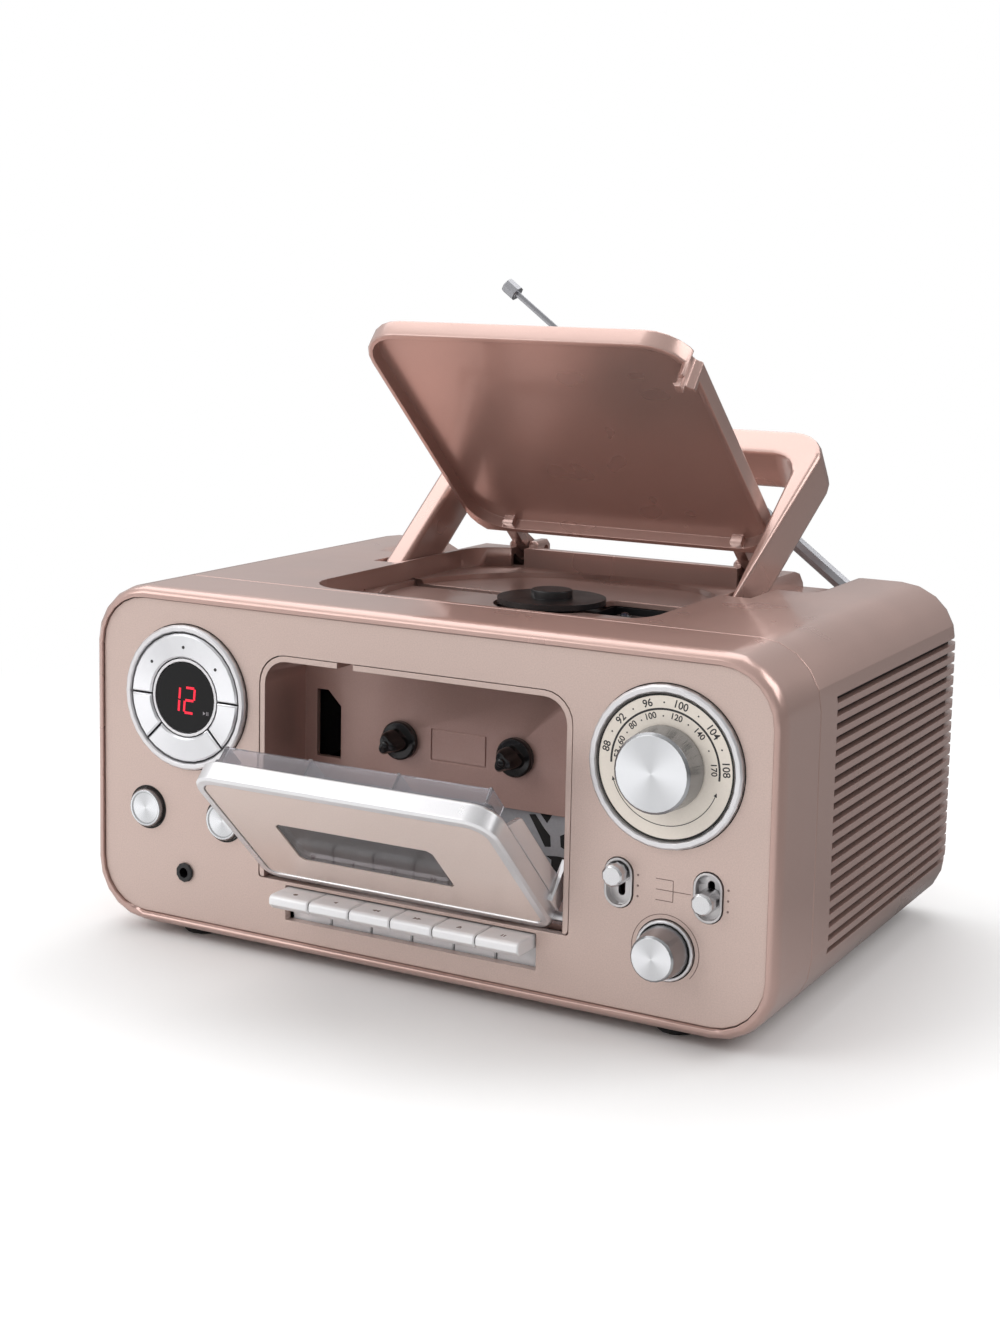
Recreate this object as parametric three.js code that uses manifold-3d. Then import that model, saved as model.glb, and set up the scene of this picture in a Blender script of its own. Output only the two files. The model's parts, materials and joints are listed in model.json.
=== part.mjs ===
// Portable radio with a cassette deck and a CD player. Millimetres, +Z up, the front faces -Y.
// The origin is the middle of the cabinet's underside. The feet reach below it.
import * as THREE from 'three';
import { mergeVertices } from 'three/addons/utils/BufferGeometryUtils.js';
import Module from 'manifold-3d';

const wasm = await Module();
wasm.setup();

// Fits shared by every piece
const fit = 0.3;          // gap between pieces that touch
const run = 0.5;          // gap round pieces that move
const over = 2;           // how far a cut runs past its surface
const bite = 0.4;         // how far joined solids sink into each other
const weld = 1e-4;        // vertices closer than this are one
const half = 0.5;
const fullTurn = 360;     // degrees
const quarter = Math.PI * half;

// Facets on each kind of round
const facets = { corner: 5, edge: 3, shape: 3, oval: 5, rear: 3, hole: 14, dial: 32, knob: 24, small: 10, rod: 8 };

// Driving sizes of the cabinet
const cabinet = { width: 247, height: 115, depth: 172, radius: 20, rearRadius: 10, wall: 2.6 };
const frontY = -cabinet.depth * half;
const rearY = cabinet.depth * half;
const midZ = cabinet.height * half;

const bezel = { depth: 29, lipX: 3.1, lipZ: 3.8, roundIn: 2.4, roundDeep: 5, flange: 3, flangeThick: 2, groove: 0.6 };
const seamY = frontY + bezel.depth;
const tongue = { length: 4, thick: 1.4, root: 4 };

const panel = { setback: 1, thick: 3 };
panel.width = cabinet.width - 2 * bezel.lipX - 2 * fit;
panel.height = cabinet.height - 2 * bezel.lipZ - 2 * fit;
panel.radius = cabinet.radius - bezel.lipX - fit;
const faceY = frontY + panel.setback;
const panelBackY = faceY + panel.thick;

// Colours and finishes
const finish = (color, roughness, metalness) => new THREE.MeshStandardMaterial({ color, roughness, metalness });
const looks = {
  rose: finish(0xc9a396, 0.42, 0.35),
  roseLight: finish(0xd6bcae, 0.4, 0.3),
  roseDark: finish(0x9a7265, 0.55, 0.2),
  silver: finish(0xd9d9db, 0.28, 0.85),
  pearl: finish(0xd4d2d2, 0.35, 0.5),
  chrome: finish(0xe6e6e8, 0.12, 1),
  steel: finish(0x9b9ea2, 0.35, 0.9),
  black: finish(0x141416, 0.45, 0),
  rubber: finish(0x1d1c1c, 0.85, 0),
  cream: finish(0xece4da, 0.6, 0),
  clear: finish(0xc9ccd2, 0.08, 0),
  smoke: finish(0x55555b, 0.15, 0),
  cone: finish(0x2a2727, 0.8, 0),
};

// Solids: three.js geometry in and out of the boolean library
function solid(geometry) {
  const bare = geometry.clone();
  for (const name of Object.keys(bare.attributes)) if (name !== 'position') bare.deleteAttribute(name);
  const merged = mergeVertices(bare, weld);
  const triVerts = new Uint32Array(merged.index.array);
  const vertProperties = new Float32Array(merged.attributes.position.array);
  const body = new wasm.Manifold(new wasm.Mesh({ numProp: 3, vertProperties, triVerts }));
  if (body.volume() > 0) return body;
  for (let i = 0; i < triVerts.length; i += 3) [triVerts[i], triVerts[i + 1]] = [triVerts[i + 1], triVerts[i]];
  return new wasm.Manifold(new wasm.Mesh({ numProp: 3, vertProperties, triVerts }));
}

function toGeometry(body) {
  const data = body.getMesh();
  const geometry = new THREE.BufferGeometry();
  geometry.setAttribute('position', new THREE.BufferAttribute(data.vertProperties, 3));
  geometry.setIndex(new THREE.BufferAttribute(data.triVerts, 1));
  geometry.computeVertexNormals();
  return geometry;
}

const join = (...bodies) => bodies.reduce((sum, body) => sum.add(body));
const cut = (body, ...tools) => tools.reduce((rest, tool) => rest.subtract(tool), body);

// A shape drawn in two axes and extruded along the third
const turn = {
  x: new THREE.Matrix4().makeBasis(new THREE.Vector3(0, 1, 0), new THREE.Vector3(0, 0, 1), new THREE.Vector3(1, 0, 0)),
  y: new THREE.Matrix4().makeBasis(new THREE.Vector3(1, 0, 0), new THREE.Vector3(0, 0, 1), new THREE.Vector3(0, -1, 0)),
  z: new THREE.Matrix4(),
};

function extrude(shape, axis, from, to, steps = facets.shape, bevel = 0, bevelSteps = 2) {
  const depth = to - from - 2 * bevel;
  const settings = { depth, curveSegments: steps, bevelEnabled: bevel > 0, bevelThickness: bevel,
    bevelSize: bevel, bevelOffset: -bevel, bevelSegments: bevelSteps };
  const geometry = new THREE.ExtrudeGeometry(shape, settings).applyMatrix4(turn[axis]);
  const shift = axis === 'y' ? to - bevel : from + bevel;
  return solid(geometry.translate(axis === 'x' ? shift : 0, axis === 'y' ? shift : 0, axis === 'z' ? shift : 0));
}

// Outlines in two axes: a rounded rectangle, a stadium, a polygon and a slice of a ring
function rounded(width, height, radius, cx = 0, cy = 0, lowRadius = radius) {
  const shape = new THREE.Shape();
  const [w, h] = [width * half, height * half];
  shape.absarc(cx + w - lowRadius, cy - h + lowRadius, lowRadius, -quarter, 0);
  shape.absarc(cx + w - radius, cy + h - radius, radius, 0, quarter);
  shape.absarc(cx - w + radius, cy + h - radius, radius, quarter, Math.PI);
  shape.absarc(cx - w + lowRadius, cy - h + lowRadius, lowRadius, Math.PI, Math.PI + quarter);
  shape.closePath();
  return shape;
}

function stadium(width, height, cx = 0, cy = 0) {
  const shape = new THREE.Shape();
  const [radius, reach] = [width * half, (height - width) * half];
  shape.absarc(cx, cy + reach, radius, 0, Math.PI);
  shape.absarc(cx, cy - reach, radius, Math.PI, 2 * Math.PI);
  shape.closePath();
  return shape;
}

function polygon(points) {
  return new THREE.Shape(points.map(([x, y]) => new THREE.Vector2(x, y)));
}

// A slice of a ring between two angles, kept clear of its neighbours by a gap on each side
function ringSlice(inner, outer, from, to, gap) {
  const shape = new THREE.Shape();
  const [a, b] = [Math.asin(gap / outer), Math.asin(gap / inner)];
  shape.absarc(0, 0, outer, from + a, to - a);
  shape.absarc(0, 0, inner, to - b, from + b, true);
  shape.closePath();
  return shape;
}

// A box between two values on each axis
function box(x0, x1, y0, y1, z0, z1) {
  const shape = polygon([[x0, y0], [x1, y0], [x1, y1], [x0, y1]]);
  return extrude(shape, 'z', z0, z1);
}

// A turned solid: the profile lists [radius, distance] from axis to axis, and the axis points along +X, +Y or +Z
function turned(profile, axis, cx, cy, cz, steps = facets.knob) {
  const geometry = new THREE.LatheGeometry(profile.map(([r, d]) => new THREE.Vector2(r, d)), steps);
  if (axis === 'z') geometry.rotateX(Math.PI * half);
  if (axis === 'x') geometry.rotateZ(-Math.PI * half);
  return solid(geometry.translate(cx, cy, cz));
}

const rod = (radius, axis, x, y, z, from, to, steps = facets.small) =>
  turned([[0, from], [radius, from], [radius, to], [0, to]], axis, x, y, z, steps);

// A body through loops of equal length, closed by a flat fan at each end
function loft(loops) {
  const count = loops[0].length;
  const points = loops.flat();
  const index = [];
  for (let ring = 0; ring + 1 < loops.length; ring += 1) {
    for (let i = 0; i < count; i += 1) {
      const [a, b] = [ring * count + i, ring * count + (i + 1) % count];
      index.push(a, b, b + count, a, b + count, a + count);
    }
  }
  const last = (loops.length - 1) * count;
  for (let i = 1; i + 1 < count; i += 1) index.push(0, i + 1, i, last, last + i, last + i + 1);
  const geometry = new THREE.BufferGeometry().setFromPoints(points);
  geometry.setIndex(index);
  return solid(geometry);
}

// One loop of a rounded rectangle that stands at a given depth
function frontLoop(y, inset, cornerInset = inset) {
  const [w, h] = [cabinet.width * half - inset, cabinet.height * half - inset];
  const radius = cabinet.radius - cornerInset;
  const loop = [];
  for (let corner = 0; corner < 4; corner += 1) {
    const [sx, sz] = [corner === 0 || corner === 3 ? 1 : -1, corner < 2 ? 1 : -1];
    for (let i = 0; i <= facets.corner; i += 1) {
      const angle = (corner + i / facets.corner) * Math.PI * half;
      loop.push(new THREE.Vector3(sx * (w - radius) + radius * Math.cos(angle), y,
        midZ + sz * (h - radius) + radius * Math.sin(angle)));
    }
  }
  return loop;
}

const radio = new THREE.Group();

function addPiece(name, body, look, parent = radio) {
  const mesh = new THREE.Mesh(toGeometry(body), look);
  mesh.name = name;
  parent.add(mesh);
  return mesh;
}

function pivotGroup(x, y, z, axis, angle, parent = radio) {
  const group = new THREE.Group();
  group.position.set(x, y, z);
  group.rotation[axis] = angle;
  parent.add(group);
  return group;
}

const degrees = THREE.MathUtils.degToRad;

// Controls on the front. Their places are counted in from the nearest side and up from the underside
const sideX = cabinet.width * half;
const pad = { in: 37.8, z: 79.4, lip: 24.2, body: 23, bore: 21.8, button: 21.4, buttonIn: 13.4, ring: 13,
  glass: 11.8, proud: 2, bottom: 2.8, floor: 1.8, gap: 0.3, edge: 0.6, buttonThick: 3.6 };
pad.x = pad.in - sideX;
const padStarts = [0, 180, 225, 315, 360];
const press = { z: 40, playIn: 21.7, stopIn: 53.2, radius: 6.4, proud: 2, rim: 0.9, dish: 0.4, collar: 8.1, collarThick: 1.2 };
press.playX = press.playIn - sideX;
press.stopX = press.stopIn - sideX;
const jack = { in: 37.2, z: 19.9, lip: 3.3, body: 2.7, bore: 1.75, lipThick: 0.8, length: 13, bottom: 1.5 };
jack.x = jack.in - sideX;
const selector = { leftIn: 50.4, rightIn: 21.8, z: 42.6, width: 9, height: 15, wall: 0.7, proud: 0.6, thick: 4.4,
  floor: 1.6, knob: 3.4, knobFrom: 5.4, travel: 3.1, leftAt: 3.1, rightAt: -0.8, stem: 0.8, stemTo: 7.5 };
selector.leftX = sideX - selector.leftIn;
selector.rightX = sideX - selector.rightIn;
const volume = { in: 34.9, z: 24.6, lip: 9.2, well: 8.4, body: 7.6, base: 7.9, face: 6.9, length: 9.8, shaft: 2.2,
  lipThick: 1.2, sink: 0.6, shaftLength: 9, edge: 0.6 };
volume.x = sideX - volume.in;
const dial = { in: 36.1, z: 79.5, lip: 24.4, body: 23, bore: 21.9, plate: 21.6, knobBase: 12.6, knobFace: 12,
  length: 11, shaft: 3, proud: 2.2, bottom: 2.3, floor: 1.6, plateThick: 3.4, shaftLength: 12, edge: 0.8 };
dial.x = sideX - dial.in;

// Cassette opening and the row of keys below it. Depths are counted in from the front
const opening = { left: -54.6, right: 54.7, bottom: 23.2, top: 95.4, radius: 8, lowRadius: 1 };
const bay = { wall: 1.8, deep: 24.5, backThick: 2, floorBottom: 22.5, backEdge: 52.4, floorIn: 6.5, legFoot: 23.6,
  rib: 2 };
bay.backY = frontY + bay.deep;
bay.floorFrontY = frontY + bay.floorIn;
const bayMark = { left: -6, right: 14.5, bottom: 64, top: 74.7, deep: 0.5, line: 0.5 };
const bayWindow = { left: -50, right: -40.5, bottom: 60, top: 82.5, chamfer: 5 };
const bayNotch = { x: -24, width: 6, deep: 8 };
const keys = { count: 6, span: 91, gap: 0.4, top: 21.7, under: 17.2, out: 9.5, low: 9.8, lowIn: 4.5,
  lowThick: 2.2, windowBottom: 10.5, windowTop: 22.1, round: 1.6, armWidth: 5, armThick: 4.4, armTop: 20.4 };
keys.frontY = frontY - keys.out;
keys.lowY = frontY + keys.lowIn;
const shaft = { in: 22, z: 17, radius: 1.5, eye: 3.4 };
shaft.y = frontY + shaft.in;
const chassis = { thick: 1.5, inset: 1.6, bottom: 11, top: 56, cheekGap: 1.2, cheekThick: 2.2, cheekIn: 17.5 };
chassis.left = opening.left + chassis.inset;
chassis.right = opening.right - chassis.inset;
chassis.cheekX = keys.span * half + chassis.cheekGap;
chassis.cheekFrontY = frontY + chassis.cheekIn;
const reel = { x: 4.1, spread: 21.25, z: 69.4, shaft: 2, collar: 6.5, collarThick: 2.6, spindle: 3.1, spline: 4.4,
  splineWidth: 1.5, splines: 3, length: 11.1, nose: 1.4, tail: 3 };
reel.tipY = bay.backY - reel.length;
const head = { x: 4.1, width: 12, bottom: 26, top: 33.5, deep: 9, barLeft: -34, barRight: 13, barTop: 30,
  barThick: 1.7, travel: 3, guide: 1.6, guideReach: 3 };
const capstan = { x: 23, z: 39.4, radius: 1.1, length: 12.5, pinch: 6, pinchOut: 9.5, pinchThick: 8, pinchPin: 1.5 };
capstan.frontY = bay.backY - capstan.length;
capstan.pinchFrontY = bay.backY - capstan.pinchOut;
const door = { pivotIn: 3.5, pivotZ: 27.9, face: 4, foot: 2, gapLeft: 0.5, gapRight: 2.7, height: 60.5, thick: 7,
  topRadius: 9, bottomRadius: 6, rim: 3, rimIn: 0.4, panelThick: 1.2, floorFrom: 1.9, floorThick: 1.5, open: 45.6,
  pin: 1.5, pinIn: 1.3, edge: 0.8 };
door.pivotY = frontY + door.pivotIn;
const doorWindow = { shift: -3.7, width: 56.5, bottom: 15.9, top: 37.6, chamfer: 1.6, ledge: 1.6, thick: 1.1,
  sink: 0.7 };
const doorWall = { from: 7, to: 12.5, bottom: 6, top: 50, thick: 1.6, fold: 5 };
const lever = { thick: 1.5, from: 4, to: 18, low: 6, high: 12, drop: 3 };
const holder = { inset: 4, bottom: 43.5, top: 57.2, from: 7.3, to: 14.4, thick: 1.8, lip: 2.2, end: 2.4, ribs: 2,
  ribThick: 1, ribUp: 3 };

// CD compartment in the top, counted in from the back and down from the top
const lid = { width: 123.6, length: 121, rearIn: 18.5, skirt: 6.6, plate: 2.2, wall: 2, radius: 16, edge: 0.8,
  openAngle: 41, pivotIn: 4.5, pivotDown: 1, rearSkirtIn: 5 };
lid.rearY = rearY - lid.rearIn;
lid.frontY = lid.rearY - lid.length;
lid.pivotY = rearY - lid.pivotIn;
lid.pivotZ = cabinet.height - lid.pivotDown;
const arm = { in: 15.3, width: 4.4, eye: 2.9, pin: 1.5, pinOut: 1.3, thick: 4.2, front: 9.5, gap: 0.5, ear: 3.4 };
arm.x = lid.width * half - arm.in;
arm.frontY = lid.rearY - arm.front;
const scoop = { fromFront: 12.5, inner: 3.2, outer: 4.8, drop: 4.5, hookWidth: 3.4, hookX: 2.4, hookThick: 1.8,
  hookReach: 3, hookNose: 1.2, gap: 1.2 };
const recess = { side: 0.5, front: 0.7, rear: 2.5, depth: 7, wall: 2 };
const well = { margin: 1, shift: 2, depth: 1.8, thick: 2 };
well.radius = lid.width * half - well.margin;
well.y = (lid.frontY + lid.rearY) * half + well.shift;
const recessZ = cabinet.height - recess.depth;
const wellZ = recessZ - well.depth;
const hump = { front: 6, rear: 0.3, rise: 2.6, round: 2, foot: 10, chamfer: 1.6, floor: 3 };
hump.frontY = lid.rearY + hump.front;
hump.rearY = rearY - hump.rear;
const turntable = { radius: 19, opening: 20.3, up: 0.4, thick: 2, nub: 7.3, nubHeight: 2.8, shaft: 3, pinUp: 4.2 };
const slot = { left: 14, right: 50, front: 10, rear: 20, radius: 3 };
slot.frontY = well.y - slot.front;
slot.rearY = well.y + slot.rear;
const drive = { left: -45, right: 56, reach: 39, height: 13.9, radius: 5, troughGap: 1, troughFloor: 2.5, bore: 3.4 };
drive.frontY = well.y - drive.reach;
drive.rearY = well.y + drive.reach;
drive.top = wellZ - well.thick - fit;
drive.bottom = drive.top - drive.height;
const sled = { x: 26, width: 13, railFront: 6, railRear: 16, railUp: 6.5, rail: 1.3, up: 12.6, lens: 2.6, lensUp: 1.2,
  eye: 2.6 };
sled.railFrontY = well.y - sled.railFront;
sled.railRearY = well.y + sled.railRear;
sled.railZ = drive.bottom + sled.railUp;
sled.top = drive.bottom + sled.up;

// Carrying handle with its pockets and the troughs that it folds into
const handle = { arm: 8.4, thick: 18, length: 87.5, bar: 12.5, outerRadius: 13.5, innerRadius: 10, round: 2,
  pivotIn: 67.5, pivotDown: 9.8, lean: 37.3, pin: 3, pinOut: 1.9 };
const pocket = { skin: 1.4, gap: 0.7, wall: 2.1, front: 1.5, rear: 14.5, under: 2.1 };
handle.inner = lid.width * half + recess.side + pocket.skin + pocket.gap;
handle.outer = handle.inner + handle.arm;
handle.pivotY = rearY - handle.pivotIn;
handle.pivotZ = cabinet.height - handle.pivotDown;
pocket.frontY = handle.pivotY - handle.thick * half - pocket.front;
pocket.rearY = handle.pivotY + handle.thick * half + pocket.rear;
pocket.bottom = handle.pivotZ - handle.thick * half - pocket.under;
const dip = { depth: 6.5, margin: 4.7, slope: 11.5, start: 13, full: 25, steps: 6, wall: 2.4 };
dip.flat = handle.outer + dip.margin;
dip.top = dip.flat + dip.slope;
dip.startY = handle.pivotY + dip.start;
dip.fullY = handle.pivotY + dip.full;

// Loudspeakers behind slotted side walls
const slats = { count: 20, down: 19.1, pitch: 4.08, open: 2, start: 14.4, reach: 8.5 };
slats.first = cabinet.height - slats.down;
slats.startY = seamY + slats.start;
const speaker = { in: 76, z: midZ, radius: 36.5, surround: 32, cone: 28, coil: 10, basket: 20, magnet: 17,
  deep: 30, magnetDeep: 12, dust: 6, coneDeep: 14, sheet: 1.2 };
speaker.y = rearY - speaker.in;

// Battery compartment, its door and the mains socket at the back
const battery = { width: 156, bottom: 12.4, top: 68.4, deep: 28, wall: 2, doorThick: 2.4, round: 1.8, pin: 0.8,
  pinOut: 1.2, radius: 3, gripWidth: 24, gripHeight: 5, gripDeep: 1.2 };
const socket = { in: 22.5, z: 26, width: 20, height: 11, lip: 1.6, lipThick: 1.5, deep: 16, wall: 1.6, radius: 4,
  pin: 1.2, pinSpan: 8.6, pinLength: 9 };
socket.x = sideX - socket.in;

// Telescopic aerial on the back. Each tube is longer than the part of it that shows by the overlap
const aerial = { in: 39.5, down: 14, boss: 6.5, bossOut: 4, out: 12.5, rest: 36.6, base: 6.2, baseThick: 2.6,
  stalk: 2.4, stalkLength: 7, cheek: 1.8, cheekGap: 2.4, flat: 4.2, eye: 3.2, pin: 1.3, root: 5.5, tube: 2.9,
  tubeBore: 2.4, tubeLength: 78, middle: 2.05, middleBore: 1.6, middleLength: 62, tip: 1.2, tipLength: 51, cap: 3.1,
  capLength: 6, overlap: 9 };
aerial.x = sideX - aerial.in;
aerial.z = cabinet.height - aerial.down;
aerial.tubeEnd = aerial.tubeLength;
aerial.middleEnd = aerial.tubeEnd + aerial.middleLength;
aerial.tipEnd = aerial.middleEnd + aerial.tipLength;

const foot = { radius: 7, height: 3, frontIn: 14, rearIn: 16, in: 35.5, edge: 0.8 };
foot.frontY = frontY + foot.frontIn;
foot.rearY = rearY - foot.rearIn;
foot.x = sideX - foot.in;

const frontZ = (bottom, top) => (bottom + top) * half;

// Front surround: a moulded ring with a softly rounded front edge and a flange that the panel rests on
{
  const loops = [];
  for (let i = 0; i <= facets.edge; i += 1) {
    const angle = (i / facets.edge) * quarter;
    const inset = bezel.roundIn * (1 - Math.sin(angle));
    loops.push(frontLoop(frontY + bezel.roundDeep * (1 - Math.cos(angle)), inset));
  }
  loops.push(frontLoop(seamY - fit, 0));
  const outer = loft(loops);
  const mouth = extrude(rounded(panel.width + 2 * fit, panel.height + 2 * fit, panel.radius + fit, 0, midZ), 'y',
    frontY - over, panelBackY + fit);
  const narrow = 2 * bezel.flange;
  const throat = extrude(rounded(panel.width - narrow, panel.height - narrow, panel.radius - bezel.flange, 0, midZ),
    'y', panelBackY, seamY);
  const backFrom = panelBackY + fit + bezel.flangeThick;
  const hollow = loft([frontLoop(backFrom, cabinet.wall), frontLoop(seamY + over, cabinet.wall)]);
  addPiece('front_bezel', cut(outer, mouth, throat, hollow), looks.rose);
}

// Front panel: a flat plate with an opening for each control
{
  const plate = rounded(panel.width, panel.height, panel.radius, 0, midZ);
  const windowSides = keys.span * half + run;
  const deckSides = [opening.left - bay.wall - fit, opening.right + bay.wall + fit];
  const deckTop = opening.top + bay.wall + fit;
  plate.holes.push(
    rounded(2 * windowSides, keys.windowTop - keys.windowBottom, run, 0, frontZ(keys.windowBottom, keys.windowTop)),
    rounded(deckSides[1] - deckSides[0], deckTop - opening.bottom, opening.radius + bay.wall,
      (deckSides[0] + deckSides[1]) * half, frontZ(opening.bottom, deckTop), opening.lowRadius),
  );
  const through = [faceY - over, panelBackY + over];
  const bores = [[press.radius + run, press.playX, press.z], [press.radius + run, press.stopX, press.z],
    [jack.body + fit, jack.x, jack.z], [volume.body + fit, volume.x, volume.z], [pad.body + fit, pad.x, pad.z],
    [dial.body + fit, dial.x, dial.z]].map(([radius, x, z]) => rod(radius, 'y', x, 0, z, ...through, facets.dial));
  const cups = [selector.leftX, selector.rightX].map((x) => extrude(stadium(selector.width + 2 * fit,
    selector.height + 2 * fit, x, selector.z), 'y', ...through, facets.oval));
  addPiece('front_panel', cut(extrude(plate, 'y', faceY, panelBackY), ...bores, ...cups), looks.roseLight);
}

// Left control pad: a dished ring, its four keys and the display in the middle
{
  const lipY = faceY - pad.proud;
  const floorY = faceY + pad.bottom;
  const glass = pad.glass + fit;
  addPiece('pad_ring', turned([[0, floorY], [glass, floorY], [glass, lipY + pad.edge], [pad.ring, lipY + pad.edge],
    [pad.ring, floorY], [pad.bore, floorY], [pad.bore, lipY + pad.edge], [pad.bore + pad.edge, lipY],
    [pad.lip - pad.edge, lipY], [pad.lip, lipY + pad.edge], [pad.lip, faceY - fit], [pad.body, faceY - fit],
    [pad.body, floorY + pad.floor], [0, floorY + pad.floor]], 'y', pad.x, 0, pad.z, facets.dial), looks.chrome);
  addPiece('display_window', turned([[0, floorY - fit], [pad.glass, floorY - fit], [pad.glass, lipY + pad.edge + fit],
    [0, lipY + pad.edge + fit]], 'y', pad.x, 0, pad.z, facets.knob), looks.black);
  for (let i = 0; i < 4; i += 1) {
    const [from, to] = [padStarts[i], padStarts[i + 1]];
    const slice = ringSlice(pad.buttonIn, pad.button, degrees(from), degrees(to), pad.gap);
    const steps = Math.round(facets.dial * half * (to - from) / fullTurn);
    const body = extrude(slice, 'y', lipY, lipY + pad.buttonThick, steps, pad.edge, 1);
    addPiece(`pad_key_${i + 1}`, body.translate(pad.x, 0, pad.z), looks.silver);
  }
}

// Two round push buttons, each kept in by a collar behind the panel
for (const [name, x] of [['play_button', press.playX], ['stop_button', press.stopX]]) {
  const collarY = panelBackY + fit;
  const tipY = faceY - press.proud;
  const dish = press.radius - press.rim - press.dish;
  addPiece(name, turned([[0, tipY + press.dish], [dish, tipY + press.dish], [dish + press.dish, tipY],
    [press.radius - press.dish, tipY], [press.radius, tipY + press.dish], [press.radius, collarY],
    [press.collar, collarY], [press.collar, collarY + press.collarThick], [0, collarY + press.collarThick]], 'y', x,
  0, press.z), looks.silver);
}

// Line-in socket
{
  const lipY = faceY - fit - jack.lipThick;
  addPiece('line_in_socket', turned([[0, lipY + jack.length - jack.bottom], [jack.bore, lipY + jack.length - jack.bottom],
    [jack.bore, lipY], [jack.lip - fit, lipY], [jack.lip, lipY + fit], [jack.lip, faceY - fit], [jack.body, faceY - fit],
    [jack.body, lipY + jack.length], [0, lipY + jack.length]], 'y', jack.x, 0, jack.z, facets.small), looks.steel);
}

// Two selector switches: a cup with a slotted floor and a round slider
for (const [side, x, at] of [['left', selector.leftX, selector.leftAt], ['right', selector.rightX, selector.rightAt]]) {
  const cupY = faceY - selector.proud;
  const floorY = cupY + selector.thick - selector.floor;
  const inside = [selector.width - 2 * selector.wall, selector.height - 2 * selector.wall];
  const outer = extrude(stadium(selector.width, selector.height, x, selector.z), 'y', cupY, cupY + selector.thick,
    facets.oval);
  const hollow = extrude(stadium(...inside, x, selector.z), 'y', cupY - over, floorY, facets.oval);
  const track = extrude(stadium(2 * (selector.stem + fit), 2 * (selector.stem + fit + selector.travel + fit), x,
    selector.z), 'y', floorY - over, cupY + selector.thick + over);
  addPiece(`selector_cup_${side}`, cut(outer, hollow, track), looks.silver);
  const [tipY, backY] = [faceY - selector.knobFrom, floorY - fit];
  addPiece(`selector_knob_${side}`, turned([[0, tipY], [selector.knob - pad.edge, tipY], [selector.knob, tipY + pad.edge],
    [selector.knob, backY], [selector.stem, backY], [selector.stem, faceY + selector.stemTo],
    [0, faceY + selector.stemTo]], 'y', x, 0, selector.z + at, facets.small), looks.chrome);
}

// Volume control: a shallow ring and a turned knob
{
  const lipY = faceY - volume.lipThick;
  const wellY = faceY - volume.sink;
  const bore = volume.shaft + fit;
  const backY = panelBackY + fit;
  addPiece('volume_ring', turned([[bore, wellY], [volume.well, wellY], [volume.well, lipY], [volume.lip - fit, lipY],
    [volume.lip, lipY + fit], [volume.lip, faceY - fit], [volume.body, faceY - fit], [volume.body, backY],
    [bore, backY], [bore, wellY]], 'y', volume.x, 0, volume.z), looks.silver);
  const [faceOut, baseY] = [faceY - volume.length, wellY - run];
  addPiece('volume_knob', turned([[0, faceOut], [volume.face - volume.edge, faceOut], [volume.face, faceOut + volume.edge],
    [volume.base, baseY], [volume.shaft, baseY], [volume.shaft, faceY + volume.shaftLength],
    [0, faceY + volume.shaftLength]], 'y', volume.x, 0, volume.z), looks.chrome);
}

// Tuning control: a bezel cup, a scale plate and a large turned knob
{
  const lipY = faceY - dial.proud;
  const floorY = faceY + dial.bottom;
  const backY = floorY + dial.floor;
  const bore = dial.shaft + fit;
  addPiece('dial_bezel', turned([[bore, floorY], [dial.bore, floorY], [dial.bore, lipY + pad.edge],
    [dial.bore + pad.edge, lipY], [dial.lip - pad.edge, lipY], [dial.lip, lipY + pad.edge], [dial.lip, faceY - fit],
    [dial.body, faceY - fit], [dial.body, backY], [bore, backY], [bore, floorY]], 'y', dial.x, 0, dial.z,
  facets.dial), looks.chrome);
  const [plateY, plateBack] = [floorY - fit - dial.plateThick, floorY - fit];
  addPiece('dial_plate', turned([[bore, plateY], [dial.plate, plateY], [dial.plate, plateBack], [bore, plateBack],
    [bore, plateY]], 'y', dial.x, 0, dial.z, facets.dial), looks.cream);
  const [faceOut, baseY] = [faceY - dial.length, plateY - run];
  addPiece('tuning_knob', turned([[0, faceOut], [dial.knobFace - dial.edge, faceOut],
    [dial.knobFace, faceOut + dial.edge], [dial.knobBase, baseY], [dial.shaft, baseY],
    [dial.shaft, faceY + dial.shaftLength], [0, faceY + dial.shaftLength]], 'y', dial.x, 0, dial.z, facets.dial),
  looks.chrome);
}

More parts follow.
